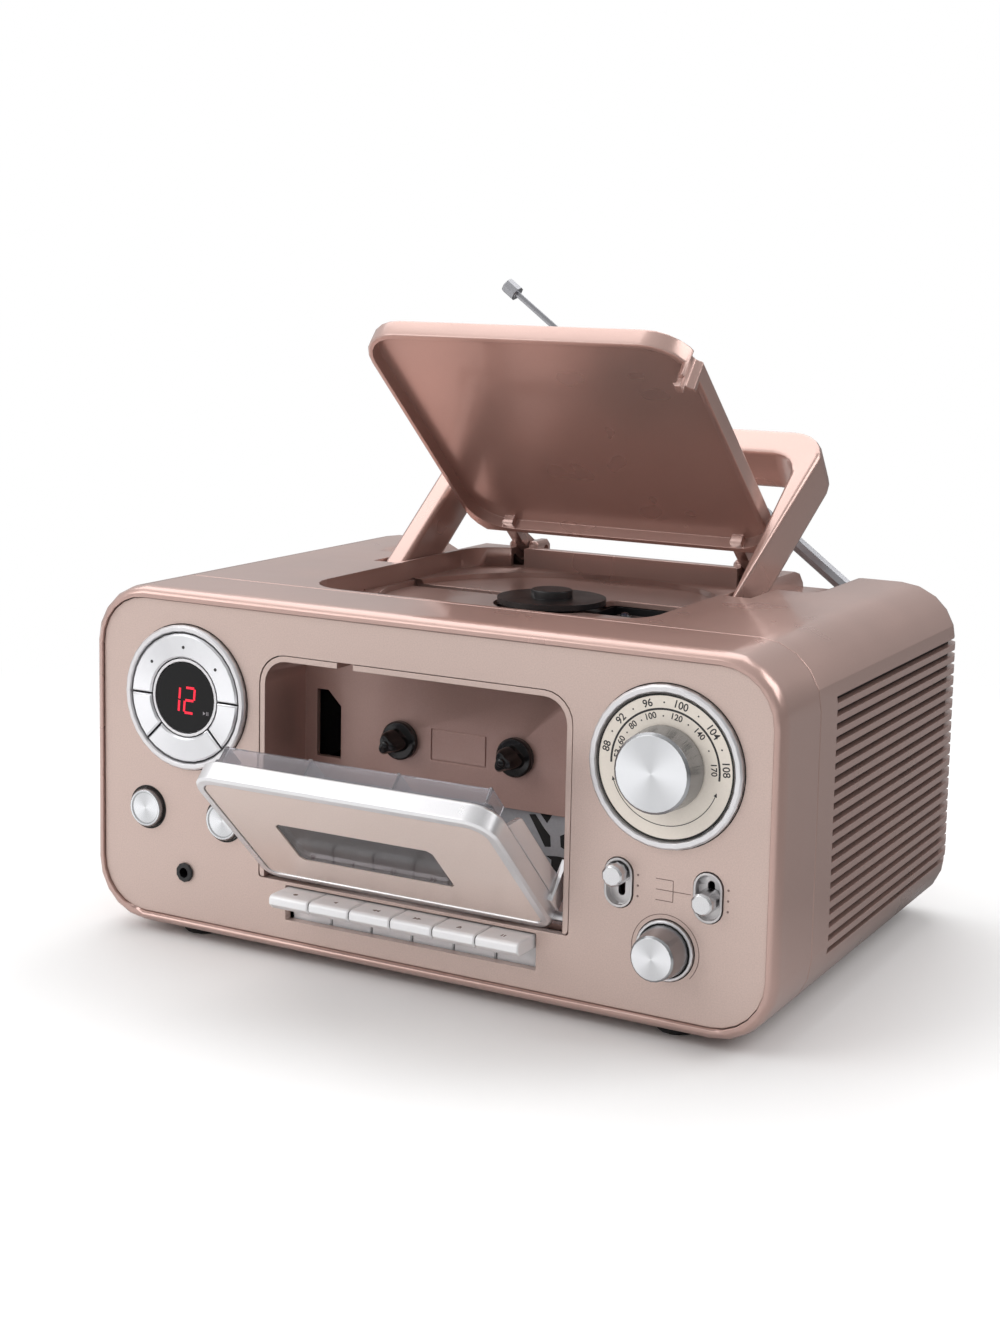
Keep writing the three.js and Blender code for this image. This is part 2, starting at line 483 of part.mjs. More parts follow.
// Cassette bay: an open box with a floor, a back plate that stops above the deck and openings in both
const bayBackEnd = bay.backY + bay.backThick;
{
  const [left, right] = [opening.left, opening.right];
  const middle = (left + right) * half;
  const top = opening.top + bay.wall;
  const outerShape = rounded(right - left + 2 * bay.wall, top - bay.floorBottom, opening.radius + bay.wall, middle,
    frontZ(bay.floorBottom, top), opening.lowRadius + bay.wall);
  const floorTop = bay.floorBottom + bay.wall;
  const innerShape = rounded(right - left, opening.top - floorTop, opening.radius, middle,
    frontZ(floorTop, opening.top), opening.lowRadius);
  const outer = extrude(outerShape, 'y', faceY + fit * half, bayBackEnd);
  const inner = extrude(innerShape, 'y', faceY - over, bay.backY);
  const mouth = box(left, right, faceY - over, bay.floorFrontY, bay.floorBottom - over, midZ);
  const legs = box(left - over, right + over, faceY - over, panelBackY + fit, bay.floorBottom - over, bay.legFoot);
  const deck = box(left + bay.rib, right - bay.rib, bay.backY - over, bayBackEnd + over, floorTop, bay.backEdge);
  const windowBody = extrude(polygon([[bayWindow.left, bayWindow.bottom], [bayWindow.right, bayWindow.bottom],
    [bayWindow.right, bayWindow.top - bayWindow.chamfer], [bayWindow.right - bayWindow.chamfer, bayWindow.top],
    [bayWindow.left, bayWindow.top]]), 'y', bay.backY - over, bayBackEnd + over);
  const notch = box(bayNotch.x - bayNotch.width * half, bayNotch.x + bayNotch.width * half, faceY - over,
    faceY + bayNotch.deep, opening.top - over, top + over);
  const markOuter = rounded(bayMark.right - bayMark.left, bayMark.top - bayMark.bottom, bayMark.line,
    (bayMark.left + bayMark.right) * half, frontZ(bayMark.bottom, bayMark.top));
  markOuter.holes.push(rounded(bayMark.right - bayMark.left - 2 * bayMark.line,
    bayMark.top - bayMark.bottom - 2 * bayMark.line, bayMark.line * half, (bayMark.left + bayMark.right) * half,
    frontZ(bayMark.bottom, bayMark.top)));
  const mark = extrude(markOuter, 'y', bay.backY - over, bay.backY + bayMark.deep, 1);
  const reelHoles = [-1, 1].map((side) => rod(reel.shaft + fit, 'y', reel.x + side * reel.spread, 0, reel.z,
    bay.backY - over, bayBackEnd + over));
  const pins = rod(door.pin + fit, 'x', 0, door.pivotY, door.pivotZ, left - bay.wall - over, right + bay.wall + over);
  addPiece('cassette_bay', cut(outer, inner, mouth, legs, deck, windowBody, notch, mark, pins, ...reelHoles),
    looks.roseLight);
}

// Tape reels: a collar and a splined spindle
for (const [side, sign] of [['left', -1], ['right', 1]]) {
  const x = reel.x + sign * reel.spread;
  const collarEnd = bay.backY - fit;
  const collarY = collarEnd - reel.collarThick;
  const noseY = reel.tipY + reel.nose;
  const core = turned([[0, reel.tipY], [reel.spindle * half, reel.tipY], [reel.spindle, noseY], [reel.spindle, collarY],
    [reel.collar - fit, collarY], [reel.collar, collarY + fit], [reel.collar, collarEnd], [reel.shaft, collarEnd],
    [reel.shaft, bayBackEnd + reel.tail], [0, bayBackEnd + reel.tail]], 'y', x, 0, reel.z, facets.hole);
  const splines = [];
  for (let i = 0; i < reel.splines; i += 1) {
    const bar = box(0, reel.spline, noseY, collarY + bite, -reel.splineWidth * half, reel.splineWidth * half);
    splines.push(bar.rotate([0, (i / reel.splines) * fullTurn, 0]).translate([x, 0, reel.z]));
  }
  addPiece(`reel_${side}`, join(core, ...splines), looks.black);
}

// Deck chassis: a steel plate behind the bay with cheeks that carry the key shaft
{
  const [y0, y1] = [bayBackEnd + fit, bayBackEnd + fit + chassis.thick];
  const shape = rounded(chassis.right - chassis.left, chassis.top - chassis.bottom, over,
    (chassis.left + chassis.right) * half, frontZ(chassis.bottom, chassis.top));
  const pinchZ = capstan.z - capstan.radius - capstan.pinch - fit;
  const bores = [[capstan.radius, capstan.z], [capstan.pinchPin, pinchZ]].map(([radius, z]) => rod(radius + fit, 'y',
    capstan.x, 0, z, y0 - over, y1 + over));
  const slotX = (head.barLeft + head.barRight) * half;
  shape.holes.push(stadium(2 * (head.guide + fit), 2 * (head.guide + fit + head.travel), slotX,
    (head.bottom + head.barTop + head.travel) * half));
  const cheeks = [-1, 1].map((side) => {
    const at = side * (chassis.cheekX + chassis.cheekThick * half);
    return box(at - chassis.cheekThick * half, at + chassis.cheekThick * half, chassis.cheekFrontY, y1,
      chassis.bottom, bay.floorBottom - fit);
  });
  const shaftHole = rod(shaft.radius + fit * half, 'x', 0, shaft.y, shaft.z, -chassis.cheekX - 2 * over,
    chassis.cheekX + 2 * over);
  addPiece('deck_chassis', cut(join(extrude(shape, 'y', y0, y1), ...cheeks), shaftHole, ...bores), looks.steel);
}

// Tape heads on a sliding bar, the capstan and the pinch roller
{
  const plateY = bayBackEnd + fit;
  const barY = plateY - fit - head.barThick;
  const bar = box(head.barLeft, head.barRight, barY, plateY - fit, head.bottom, head.barTop);
  const block = extrude(rounded(head.width, head.top - head.bottom, over * half, head.x, frontZ(head.bottom, head.top)),
    'y', plateY - head.deep - fit, barY + bite, 2);
  const slotX = (head.barLeft + head.barRight) * half;
  const pin = rod(head.guide, 'y', slotX, 0, frontZ(head.bottom, head.barTop), barY + bite,
    plateY + chassis.thick + head.guideReach);
  addPiece('head_bar', join(bar, block, pin), looks.steel);
  addPiece('capstan', rod(capstan.radius, 'y', capstan.x, 0, capstan.z, capstan.frontY,
    plateY + chassis.thick + head.guideReach), looks.chrome);
  const pinchZ = capstan.z - capstan.radius - capstan.pinch - fit;
  const [y0, y1] = [capstan.pinchFrontY, capstan.pinchFrontY + capstan.pinchThick];
  addPiece('pinch_roller', turned([[0, y0 - fit], [capstan.pinchPin, y0 - fit], [capstan.pinchPin, y0],
    [capstan.pinch, y0], [capstan.pinch, y1], [capstan.pinchPin, y1],
    [capstan.pinchPin, plateY + chassis.thick + head.guideReach], [0, plateY + chassis.thick + head.guideReach]],
  'y', capstan.x, 0, pinchZ), looks.rubber);
}

// Piano keys on one shaft
{
  const pitch = keys.span / keys.count;
  const width = pitch - keys.gap;
  const side = new THREE.Shape();
  side.moveTo(keys.lowY, keys.top);
  side.lineTo(keys.frontY + keys.round, keys.top);
  side.absarc(keys.frontY + keys.round, keys.top - keys.round, keys.round, quarter, Math.PI);
  side.lineTo(keys.frontY, keys.under + keys.round);
  side.lineTo(keys.frontY + keys.round, keys.under);
  side.lineTo(keys.lowY, keys.under);
  side.lineTo(keys.lowY, keys.low);
  side.lineTo(keys.lowY + keys.lowThick, keys.low);
  side.lineTo(keys.lowY + keys.lowThick, keys.armTop);
  side.lineTo(keys.lowY, keys.top);
  const armBack = shaft.y;
  const strip = polygon([[keys.lowY + bite, keys.armTop - keys.armThick], [armBack, shaft.z - shaft.eye + bite],
    [armBack, shaft.z + shaft.eye - bite], [keys.lowY + bite, keys.armTop - bite]]);
  for (let i = 0; i < keys.count; i += 1) {
    const x0 = -keys.span * half + i * pitch + keys.gap * half;
    const middle = x0 + width * half;
    const [a0, a1] = [middle - keys.armWidth * half, middle + keys.armWidth * half];
    const front = extrude(side, 'x', x0, x0 + width, facets.edge, bite, 1);
    const lever = extrude(strip, 'x', a0, a1);
    const eye = rod(shaft.eye, 'x', 0, shaft.y, shaft.z, a0, a1);
    const bore = rod(shaft.radius + fit, 'x', 0, shaft.y, shaft.z, a0 - over, a1 + over);
    addPiece(`deck_key_${i + 1}`, cut(join(front, lever, eye), bore), looks.pearl);
  }
  const reach = chassis.cheekX + chassis.cheekThick;
  addPiece('key_shaft', rod(shaft.radius, 'x', 0, shaft.y, shaft.z, -reach, reach), looks.steel);
}

// Cassette door: drawn upright about its hinge, then tipped open
{
  const tipped = pivotGroup(0, door.pivotY, door.pivotZ, 'x', degrees(door.open));
  const [left, right] = [opening.left + door.gapLeft, opening.right - door.gapRight];
  const middle = (left + right) * half;
  const y = (deep) => deep - door.face;
  const z = (up) => up - door.foot;
  const outline = (inset) => rounded(right - left - 2 * inset, door.height - 2 * inset, door.topRadius - inset, middle,
    z(door.height * half), door.bottomRadius - inset);
  const pane = (inset) => {
    const [w, c] = [doorWindow.width * half - inset, doorWindow.chamfer];
    const [bottom, top] = [z(doorWindow.bottom) + inset, z(doorWindow.top) - inset];
    const at = middle + doorWindow.shift;
    return polygon([[at - w, bottom + c], [at - w + c, bottom], [at + w - c, bottom], [at + w, bottom + c],
      [at + w, top - c], [at + w - c, top], [at - w + c, top], [at - w, top - c]]);
  };
  const full = extrude(outline(0), 'y', y(0), y(door.thick), facets.shape, door.edge, 1);
  const front = extrude(outline(door.rim), 'y', y(0) - over, y(door.floorFrom));
  const back = extrude(outline(door.rim), 'y', y(door.floorFrom + door.floorThick), y(door.thick) + over);
  const view = extrude(pane(doorWindow.ledge), 'y', y(0), y(door.thick));
  const walls = [-1, 1].map((side) => {
    const outer = side < 0 ? left : right;
    const inner = outer - side * doorWall.thick;
    const profile = polygon([[y(doorWall.from) - bite, z(doorWall.bottom)], [y(doorWall.to), z(doorWall.bottom)],
      [y(doorWall.to), z(doorWall.top - doorWall.fold)], [y(doorWall.from) - bite, z(doorWall.top)]]);
    return extrude(profile, 'x', Math.min(outer, inner), Math.max(outer, inner));
  });
  const pins = [rod(door.pin, 'x', 0, 0, 0, opening.left - door.pinIn, left + door.rim),
    rod(door.pin, 'x', 0, 0, 0, right - door.rim, opening.right + door.pinIn)];
  const link = extrude(polygon([[y(lever.from), z(lever.low)], [y(lever.to - lever.drop), z(lever.low)],
    [y(lever.to), z(lever.low + lever.drop)], [y(lever.to), z(lever.high)], [y(lever.from), z(lever.high)]]), 'x',
  right - bite, right + lever.thick);
  addPiece('cassette_door', join(cut(full, front, back, view), ...walls, ...pins, link), looks.silver, tipped);
  const skin = cut(extrude(outline(door.rim + fit), 'y', y(door.rimIn), y(door.rimIn + door.panelThick)),
    extrude(pane(0), 'y', y(0), y(door.thick)));
  addPiece('door_panel', skin, looks.roseLight, tipped);
  addPiece('door_window', extrude(pane(fit), 'y', y(doorWindow.sink), y(doorWindow.sink + doorWindow.thick)),
    looks.smoke, tipped);
  const [bottom, top] = [z(holder.bottom), z(holder.top)];
  const [barLeft, barRight] = [left + holder.inset, right - holder.inset];
  const sheet = extrude(rounded(barRight - barLeft, top - bottom, holder.lip, (barLeft + barRight) * half,
    frontZ(bottom, top)), 'y', y(holder.from), y(holder.from + holder.thick), facets.shape);
  const lip = extrude(polygon([[y(holder.from) + bite, top - holder.lip], [y(holder.to), top - holder.lip],
    [y(holder.to), top - holder.lip * half], [y(holder.to) - holder.lip * half, top], [y(holder.from) + bite, top]]),
  'x', barLeft + holder.lip, barRight - holder.lip);
  const cell = (barRight - barLeft - 2 * holder.end) / (holder.ribs + 1);
  const ribs = [];
  for (let i = 0; i <= holder.ribs + 1; i += 1) {
    const x = barLeft + holder.end + i * cell;
    ribs.push(box(x - holder.ribThick * half, x + holder.ribThick * half, y(holder.from) + bite, y(holder.to),
      bottom + holder.ribUp, top - bite));
  }
  addPiece('cassette_holder', join(sheet, lip, ...ribs), looks.clear, tipped);
}

// The hollows sunk into the rear cabinet. Each one is drawn twice: bare, and grown by its wall.
function recessHollow(grow = 0) {
  const side = lid.width * half + recess.side + grow;
  const [y0, y1] = [lid.frontY - recess.front - grow, lid.rearY + recess.rear + grow];
  const shape = rounded(2 * side, y1 - y0, lid.radius + recess.side + grow, 0, (y0 + y1) * half);
  return extrude(shape, 'z', recessZ - grow, cabinet.height + over);
}

function wellHollow(grow = 0) {
  return rod(well.radius + grow, 'z', 0, well.y, 0, wellZ - (grow ? well.thick : 0), recessZ + over, facets.dial);
}

function pocketHollow(side, grow = 0) {
  const [inner, outer] = [handle.inner - pocket.gap - grow, handle.outer + pocket.gap + grow];
  const [y0, y1] = [pocket.frontY - grow, pocket.rearY + grow];
  const profile = rounded(y1 - y0, cabinet.height + 2 * over - pocket.bottom + grow, handle.thick * half,
    (y0 + y1) * half, (cabinet.height + 2 * over + pocket.bottom - grow) * half);
  const [a, b] = side > 0 ? [inner, outer] : [-outer, -inner];
  return extrude(profile, 'x', a, b, facets.oval);
}

function dipHollow(side, grow = 0) {
  const inner = handle.inner - pocket.gap - grow;
  const lift = over + dip.depth;
  const stations = [[dip.startY, -half], [dip.fullY, dip.depth], [rearY + over, dip.depth]];
  const loops = stations.map(([y, deep]) => {
    const floor = cabinet.height - deep - grow;
    const curve = [];
    for (let i = 0; i <= dip.steps; i += 1) {
      const share = i / dip.steps;
      const rise = (1 - Math.cos(share * Math.PI)) * half * deep;
      curve.push([dip.flat + share * dip.slope + grow * half, floor + rise]);
    }
    const outline = [[inner, cabinet.height + lift], [inner, floor], ...curve,
      [dip.top + grow * half, cabinet.height + lift]];
    return outline.map(([x, z]) => new THREE.Vector3(side * x, y, z));
  });
  return loft(loops);
}

const batteryOutline = (grow) => rounded(battery.width + 2 * grow, battery.top - battery.bottom + 2 * grow,
  battery.radius, 0, frontZ(battery.bottom, battery.top), fit);

function batteryHollow(grow = 0) {
  const shape = batteryOutline(grow);
  return extrude(shape, 'y', rearY - battery.deep - grow, rearY + over, facets.edge);
}

// Rear cabinet: a closed shell with a rounded back, sunk hollows on top, slotted sides and a hinge cover
{
  const rearLoops = (inset, radius, end) => {
    const loops = [];
    for (let i = 0; i <= facets.rear; i += 1) {
      const angle = (i / facets.rear) * quarter;
      loops.push(frontLoop(end - radius + radius * Math.sin(angle), inset + radius * (1 - Math.cos(angle))));
    }
    return loops;
  };
  const lip = bezel.groove;
  const outer = loft([frontLoop(seamY, lip), frontLoop(seamY + lip, 0), ...rearLoops(0, cabinet.rearRadius, rearY)]);
  const inner = loft([frontLoop(seamY - over, cabinet.wall), ...rearLoops(cabinet.wall,
    cabinet.rearRadius - cabinet.wall, rearY - cabinet.wall)]);
  const tongueOut = cabinet.wall + fit;
  const tongueSolid = join(loft([frontLoop(seamY - tongue.length, tongueOut), frontLoop(seamY + tongue.root, tongueOut)]),
    loft([frontLoop(seamY, cabinet.wall - lip), frontLoop(seamY + tongue.root, cabinet.wall - lip)]));
  const tongueHole = loft([frontLoop(seamY - tongue.length - over, tongueOut + tongue.thick),
    frontLoop(seamY + tongue.root + over, tongueOut + tongue.thick)]);
  const tongueRing = cut(tongueSolid, tongueHole);

  const sides = [-1, 1];
  const walls = join(recessHollow(recess.wall), wellHollow(recess.wall),
    ...sides.map((side) => pocketHollow(side, pocket.wall)), ...sides.map((side) => dipHollow(side, dip.wall)),
    batteryHollow(battery.wall)).intersect(outer);

  const cover = new THREE.Shape();
  const coverTop = cabinet.height + hump.rise;
  cover.moveTo(hump.frontY, cabinet.height - hump.floor);
  cover.lineTo(hump.frontY, coverTop - hump.round);
  cover.absarc(hump.frontY + hump.round, coverTop - hump.round, hump.round, Math.PI, quarter, true);
  cover.lineTo(hump.rearY - hump.chamfer, coverTop);
  cover.lineTo(hump.rearY, coverTop - hump.chamfer);
  cover.lineTo(hump.rearY, cabinet.height - hump.foot);
  const earReach = arm.width * half + arm.gap + arm.ear;
  const ears = sides.map((side) => extrude(cover, 'x', side * arm.x - earReach, side * arm.x + earReach, facets.edge,
    over * half, 1));
  const boss = rod(aerial.boss, 'y', aerial.x, 0, aerial.z, rearY - cabinet.rearRadius, rearY + aerial.bossOut,
    facets.hole);

  const eyeGap = arm.eye + arm.gap;
  const armNotches = sides.map((side) => {
    const [a, b] = [side * arm.x - arm.width * half - arm.gap, side * arm.x + arm.width * half + arm.gap];
    const profile = polygon([[lid.rearY, recessZ], [lid.rearY + recess.rear, recessZ],
      [lid.pivotY + eyeGap * half, lid.pivotZ - eyeGap + bite], [lid.pivotY + eyeGap, lid.pivotZ],
      [lid.pivotY + eyeGap, coverTop + over], [lid.rearY, coverTop + over]]);
    const round = rod(eyeGap, 'x', 0, lid.pivotY, lid.pivotZ, a, b, facets.hole);
    return join(extrude(profile, 'x', a, b), round);
  });
  const hingeReach = arm.x + arm.width * half + arm.pinOut + arm.gap;
  const hingeBore = rod(arm.pin + fit, 'x', 0, lid.pivotY, lid.pivotZ, -hingeReach, hingeReach);
  const hingeMiddle = arm.x - arm.width * half - arm.pinOut - arm.gap;
  const hingeCore = rod(arm.pin + run, 'x', 0, lid.pivotY, lid.pivotZ, -hingeMiddle, hingeMiddle);
  const handleReach = handle.outer + handle.pinOut + fit;
  const handleBore = rod(handle.pin + fit, 'x', 0, handle.pivotY, handle.pivotZ, -handleReach, handleReach,
    facets.hole);
  const handleMiddle = handle.inner - handle.pinOut - fit;
  const handleCore = rod(handle.pin + run, 'x', 0, handle.pivotY, handle.pivotZ, -handleMiddle, handleMiddle);

  const slotRun = [slats.startY, rearY + over];
  const slotCuts = [];
  for (let i = 0; i < slats.count; i += 1) {
    const z = slats.first - i * slats.pitch;
    for (const side of sides) {
      const [a, b] = [side * (cabinet.width * half - slats.reach), side * (cabinet.width * half + over)];
      slotCuts.push(box(Math.min(a, b), Math.max(a, b), ...slotRun, z - slats.open * half, z + slats.open * half));
    }
  }
  const hubHole = rod(turntable.opening, 'z', 0, well.y, 0, wellZ - 2 * over, wellZ + over, facets.dial);
  const sledHole = extrude(rounded(slot.right - slot.left, slot.rearY - slot.frontY, slot.radius,
    (slot.left + slot.right) * half, (slot.frontY + slot.rearY) * half), 'z', wellZ - 2 * over, wellZ + over);
  const hookHole = rod(scoop.outer + scoop.gap, 'z', lid.width * half, lid.frontY + scoop.fromFront, 0,
    recessZ - 2 * over, recessZ + over, facets.hole).intersect(box(0, lid.width * half + recess.side, lid.frontY,
    lid.rearY, recessZ - 2 * over, recessZ + over));
  const socketHole = extrude(rounded(socket.width + 2 * fit, socket.height + 2 * fit, socket.radius + fit, socket.x,
    socket.z), 'y', rearY - 2 * cabinet.wall, rearY + over);
  const doorPinZ = battery.bottom + fit + battery.round;
  const doorPinY = rearY - battery.round;
  const doorPinReach = battery.width * half + battery.pinOut + fit;
  const doorBore = rod(battery.pin + fit, 'x', 0, doorPinY, doorPinZ, -doorPinReach, doorPinReach);
  const stalkBore = rod(aerial.stalk + fit, 'y', aerial.x, 0, aerial.z,
    rearY + aerial.bossOut - aerial.stalkLength - over, rearY + aerial.bossOut + over);

  const pocketsCut = sides.flatMap((side) => [pocketHollow(side), dipHollow(side)]);
  const shell = cut(join(cut(outer, inner), tongueRing, walls, ...ears, boss), recessHollow(), wellHollow(),
    ...pocketsCut, batteryHollow(), ...armNotches, hingeBore, handleBore, ...slotCuts, hubHole, sledHole, hookHole,
    socketHole, doorBore, stalkBore);
  addPiece('rear_cabinet', shell, looks.rose);
}

// Feet
for (const [row, y] of [['front', foot.frontY], ['rear', foot.rearY]]) {
  for (const [side, x] of [['left', -foot.x], ['right', foot.x]]) {
    addPiece(`foot_${row}_${side}`, turned([[0, -fit - foot.height], [foot.radius - foot.edge, -fit - foot.height],
      [foot.radius, -fit - foot.height + foot.edge], [foot.radius, -fit], [0, -fit]], 'z', x, y, 0, facets.hole),
    looks.rubber);
  }
}

// Turntable, laser sled with its two rails, and the chassis that carries them
{
  const plateBottom = wellZ + turntable.up;
  const plateTop = plateBottom + turntable.thick;
  addPiece('cd_turntable', turned([[0, drive.top - turntable.pinUp], [turntable.shaft, drive.top - turntable.pinUp],
    [turntable.shaft, plateBottom], [turntable.radius, plateBottom], [turntable.radius, plateTop],
    [turntable.nub, plateTop], [turntable.nub, plateTop + turntable.nubHeight - bite],
    [turntable.nub - bite, plateTop + turntable.nubHeight], [0, plateTop + turntable.nubHeight]], 'z', 0, well.y, 0,
  facets.dial), looks.black);

  const body = extrude(rounded(drive.right - drive.left, drive.rearY - drive.frontY, drive.radius,
    (drive.left + drive.right) * half, (drive.frontY + drive.rearY) * half), 'z', drive.bottom, drive.top);
  const [x0, x1] = [slot.left + drive.troughGap, drive.right - drive.troughFloor];
  const trough = box(x0, x1, slot.frontY, slot.rearY, drive.bottom + drive.troughFloor, drive.top + over);
  const [y0, y1] = [drive.frontY + drive.troughFloor, drive.rearY - drive.troughFloor];
  const hollow = box(drive.left + drive.troughFloor, drive.right - drive.troughFloor, y0, y1, drive.bottom - over,
    drive.top - drive.troughFloor);
  const troughWalls = box(x0 - drive.troughFloor, x1 + bite, slot.frontY - drive.troughFloor,
    slot.rearY + drive.troughFloor, drive.bottom, drive.top - bite);
  const spindleTube = rod(drive.bore + drive.troughFloor, 'z', 0, well.y, 0, drive.bottom, drive.top - bite);
  const spindle = rod(drive.bore, 'z', 0, well.y, 0, drive.bottom + drive.troughFloor, drive.top + over);
  const railBores = [sled.railFrontY, sled.railRearY].map((y) => rod(sled.rail + fit * half, 'x', 0, y, sled.railZ,
    x0 - drive.troughFloor * half, x1 + drive.troughFloor * half));
  addPiece('cd_chassis', cut(join(cut(body, hollow), troughWalls, spindleTube), trough, spindle, ...railBores),
    looks.black);
  const railEnds = [x0 - drive.troughFloor * half + fit, x1 + drive.troughFloor * half - fit];
  for (const [row, y] of [['front', sled.railFrontY], ['rear', sled.railRearY]]) {
    addPiece(`sled_rail_${row}`, rod(sled.rail, 'x', 0, y, sled.railZ, ...railEnds), looks.steel);
  }
  const [s0, s1] = [sled.x - sled.width * half, sled.x + sled.width * half];
  const bar = box(s0, s1, sled.railFrontY - sled.eye, sled.railRearY + sled.eye, sled.railZ - sled.eye,
    sled.railZ + sled.eye);
  const top = box(s0, s1, sled.railFrontY + sled.eye, sled.railRearY - sled.eye, sled.railZ, sled.top);
  const lens = rod(sled.lens, 'z', sled.x, (sled.railFrontY + sled.railRearY) * half, 0, sled.railZ,
    sled.top + sled.lensUp);
  const bores = [sled.railFrontY, sled.railRearY].map((y) => rod(sled.rail + fit, 'x', 0, y, sled.railZ, s0 - over,
    s1 + over));
  addPiece('laser_sled', cut(join(bar, top, lens), ...bores), looks.black);
}

// Lid of the CD compartment: drawn closed about its hinge, then swung up
{
  const raised = pivotGroup(0, lid.pivotY, lid.pivotZ, 'x', -degrees(lid.openAngle));
  const y = (at) => at - lid.pivotY;
  const z = (at) => at - lid.pivotZ;
  const [width, length] = [lid.width, lid.rearY - lid.frontY];
  const centreY = y((lid.rearY + lid.frontY) * half);
  const top = z(cabinet.height);
  const under = top - lid.plate;
  const hem = top - lid.skirt;
  const outline = rounded(width, length, lid.radius, 0, centreY);
  const block = extrude(outline, 'z', hem, top, facets.shape, lid.edge, 2);
  const inside = rounded(width - 2 * lid.wall, length - lid.wall - lid.rearSkirtIn - lid.wall, lid.radius - lid.wall, 0,
    y((lid.frontY + lid.wall + lid.rearY - lid.rearSkirtIn - lid.wall) * half));
  const hollow = extrude(inside, 'z', hem - over, under);
  const rearGap = box(-width * half - over, width * half + over, y(lid.rearY - lid.rearSkirtIn), y(lid.rearY + over),
    hem - over, under);
  const scoopX = width * half;
  const scoopY = y(lid.frontY + scoop.fromFront);
  const cupEnd = hem - scoop.drop;
  const cup = rod(scoop.outer, 'z', scoopX, scoopY, 0, cupEnd, under + bite, facets.hole).intersect(
    extrude(outline, 'z', cupEnd, top));
  const finger = rod(scoop.inner, 'z', scoopX, scoopY, 0, cupEnd - over, top + over, facets.hole);
  const hookX = scoopX - scoop.hookX;
  const hookTop = cupEnd + bite;
  const hookEnd = cupEnd - scoop.hookReach;
  const hook = extrude(polygon([[hookX - scoop.hookThick, hookTop], [hookX, hookTop], [hookX, hookEnd],
    [hookX - scoop.hookThick, hookEnd], [hookX - scoop.hookThick - scoop.hookNose, hookEnd + scoop.hookNose],
    [hookX - scoop.hookThick, hookEnd + scoop.hookNose + bite]]), 'y', scoopY - scoop.hookWidth * half,
  scoopY + scoop.hookWidth * half);

  const [armTop, armBottom] = [under + bite, under - arm.thick + bite];
  const arms = [-1, 1].map((side) => {
    const [a, b] = [side * arm.x - arm.width * half, side * arm.x + arm.width * half];
    const profile = polygon([[y(arm.frontY), armTop], [y(arm.frontY), armBottom], [y(lid.rearY + recess.rear), armBottom],
      [arm.eye * half, -arm.eye + bite * half], [arm.eye * half, arm.eye - bite],
      [-arm.eye, arm.eye * half], [y(lid.rearY), armTop]]);
    const eye = rod(arm.eye, 'x', 0, 0, 0, a, b, facets.hole);
    const pin = rod(arm.pin, 'x', 0, 0, 0, a - arm.pinOut, b + arm.pinOut);
    return join(extrude(profile, 'x', a, b), eye, pin);
  });
  const lidBody = join(cut(block, hollow, rearGap), cup, hook, ...arms);
  addPiece('cd_lid', cut(lidBody, finger), looks.rose, raised);
}

// Carrying handle: an arch with rounded ends, drawn upright and then leaned back
{
  const leaned = pivotGroup(0, handle.pivotY, handle.pivotZ, 'x', degrees(handle.lean) - quarter);
  const low = handle.thick * half;
  const arch = new THREE.Shape();
  const [o, i, top] = [handle.outer, handle.inner, handle.length];
  arch.moveTo(o, -low);
  arch.absarc(o - handle.outerRadius, top - handle.outerRadius, handle.outerRadius, 0, quarter);
  arch.absarc(-o + handle.outerRadius, top - handle.outerRadius, handle.outerRadius, quarter, Math.PI);
  arch.lineTo(-o, -low);
  arch.lineTo(-i, -low);
  arch.absarc(-i + handle.innerRadius, top - handle.bar - handle.innerRadius, handle.innerRadius, Math.PI, quarter,
    true);
  arch.absarc(i - handle.innerRadius, top - handle.bar - handle.innerRadius, handle.innerRadius, quarter, 0, true);
  arch.lineTo(i, -low);
  const upright = extrude(arch, 'y', -low, low, facets.shape, handle.round, 2);
  const side = new THREE.Shape();
  side.absarc(0, 0, low, Math.PI, 2 * Math.PI);
  side.lineTo(low, top + over);
  side.lineTo(-low, top + over);
  const trimmed = upright.intersect(extrude(side, 'x', -o - over, o + over, facets.oval));
  const pins = [-1, 1].map((sign) => rod(handle.pin, 'x', sign * (o + i) * half, 0, 0,
    (i - o) * half - handle.pinOut, (o - i) * half + handle.pinOut, facets.hole));
  addPiece('carry_handle', join(trimmed, ...pins), looks.rose, leaned);
}

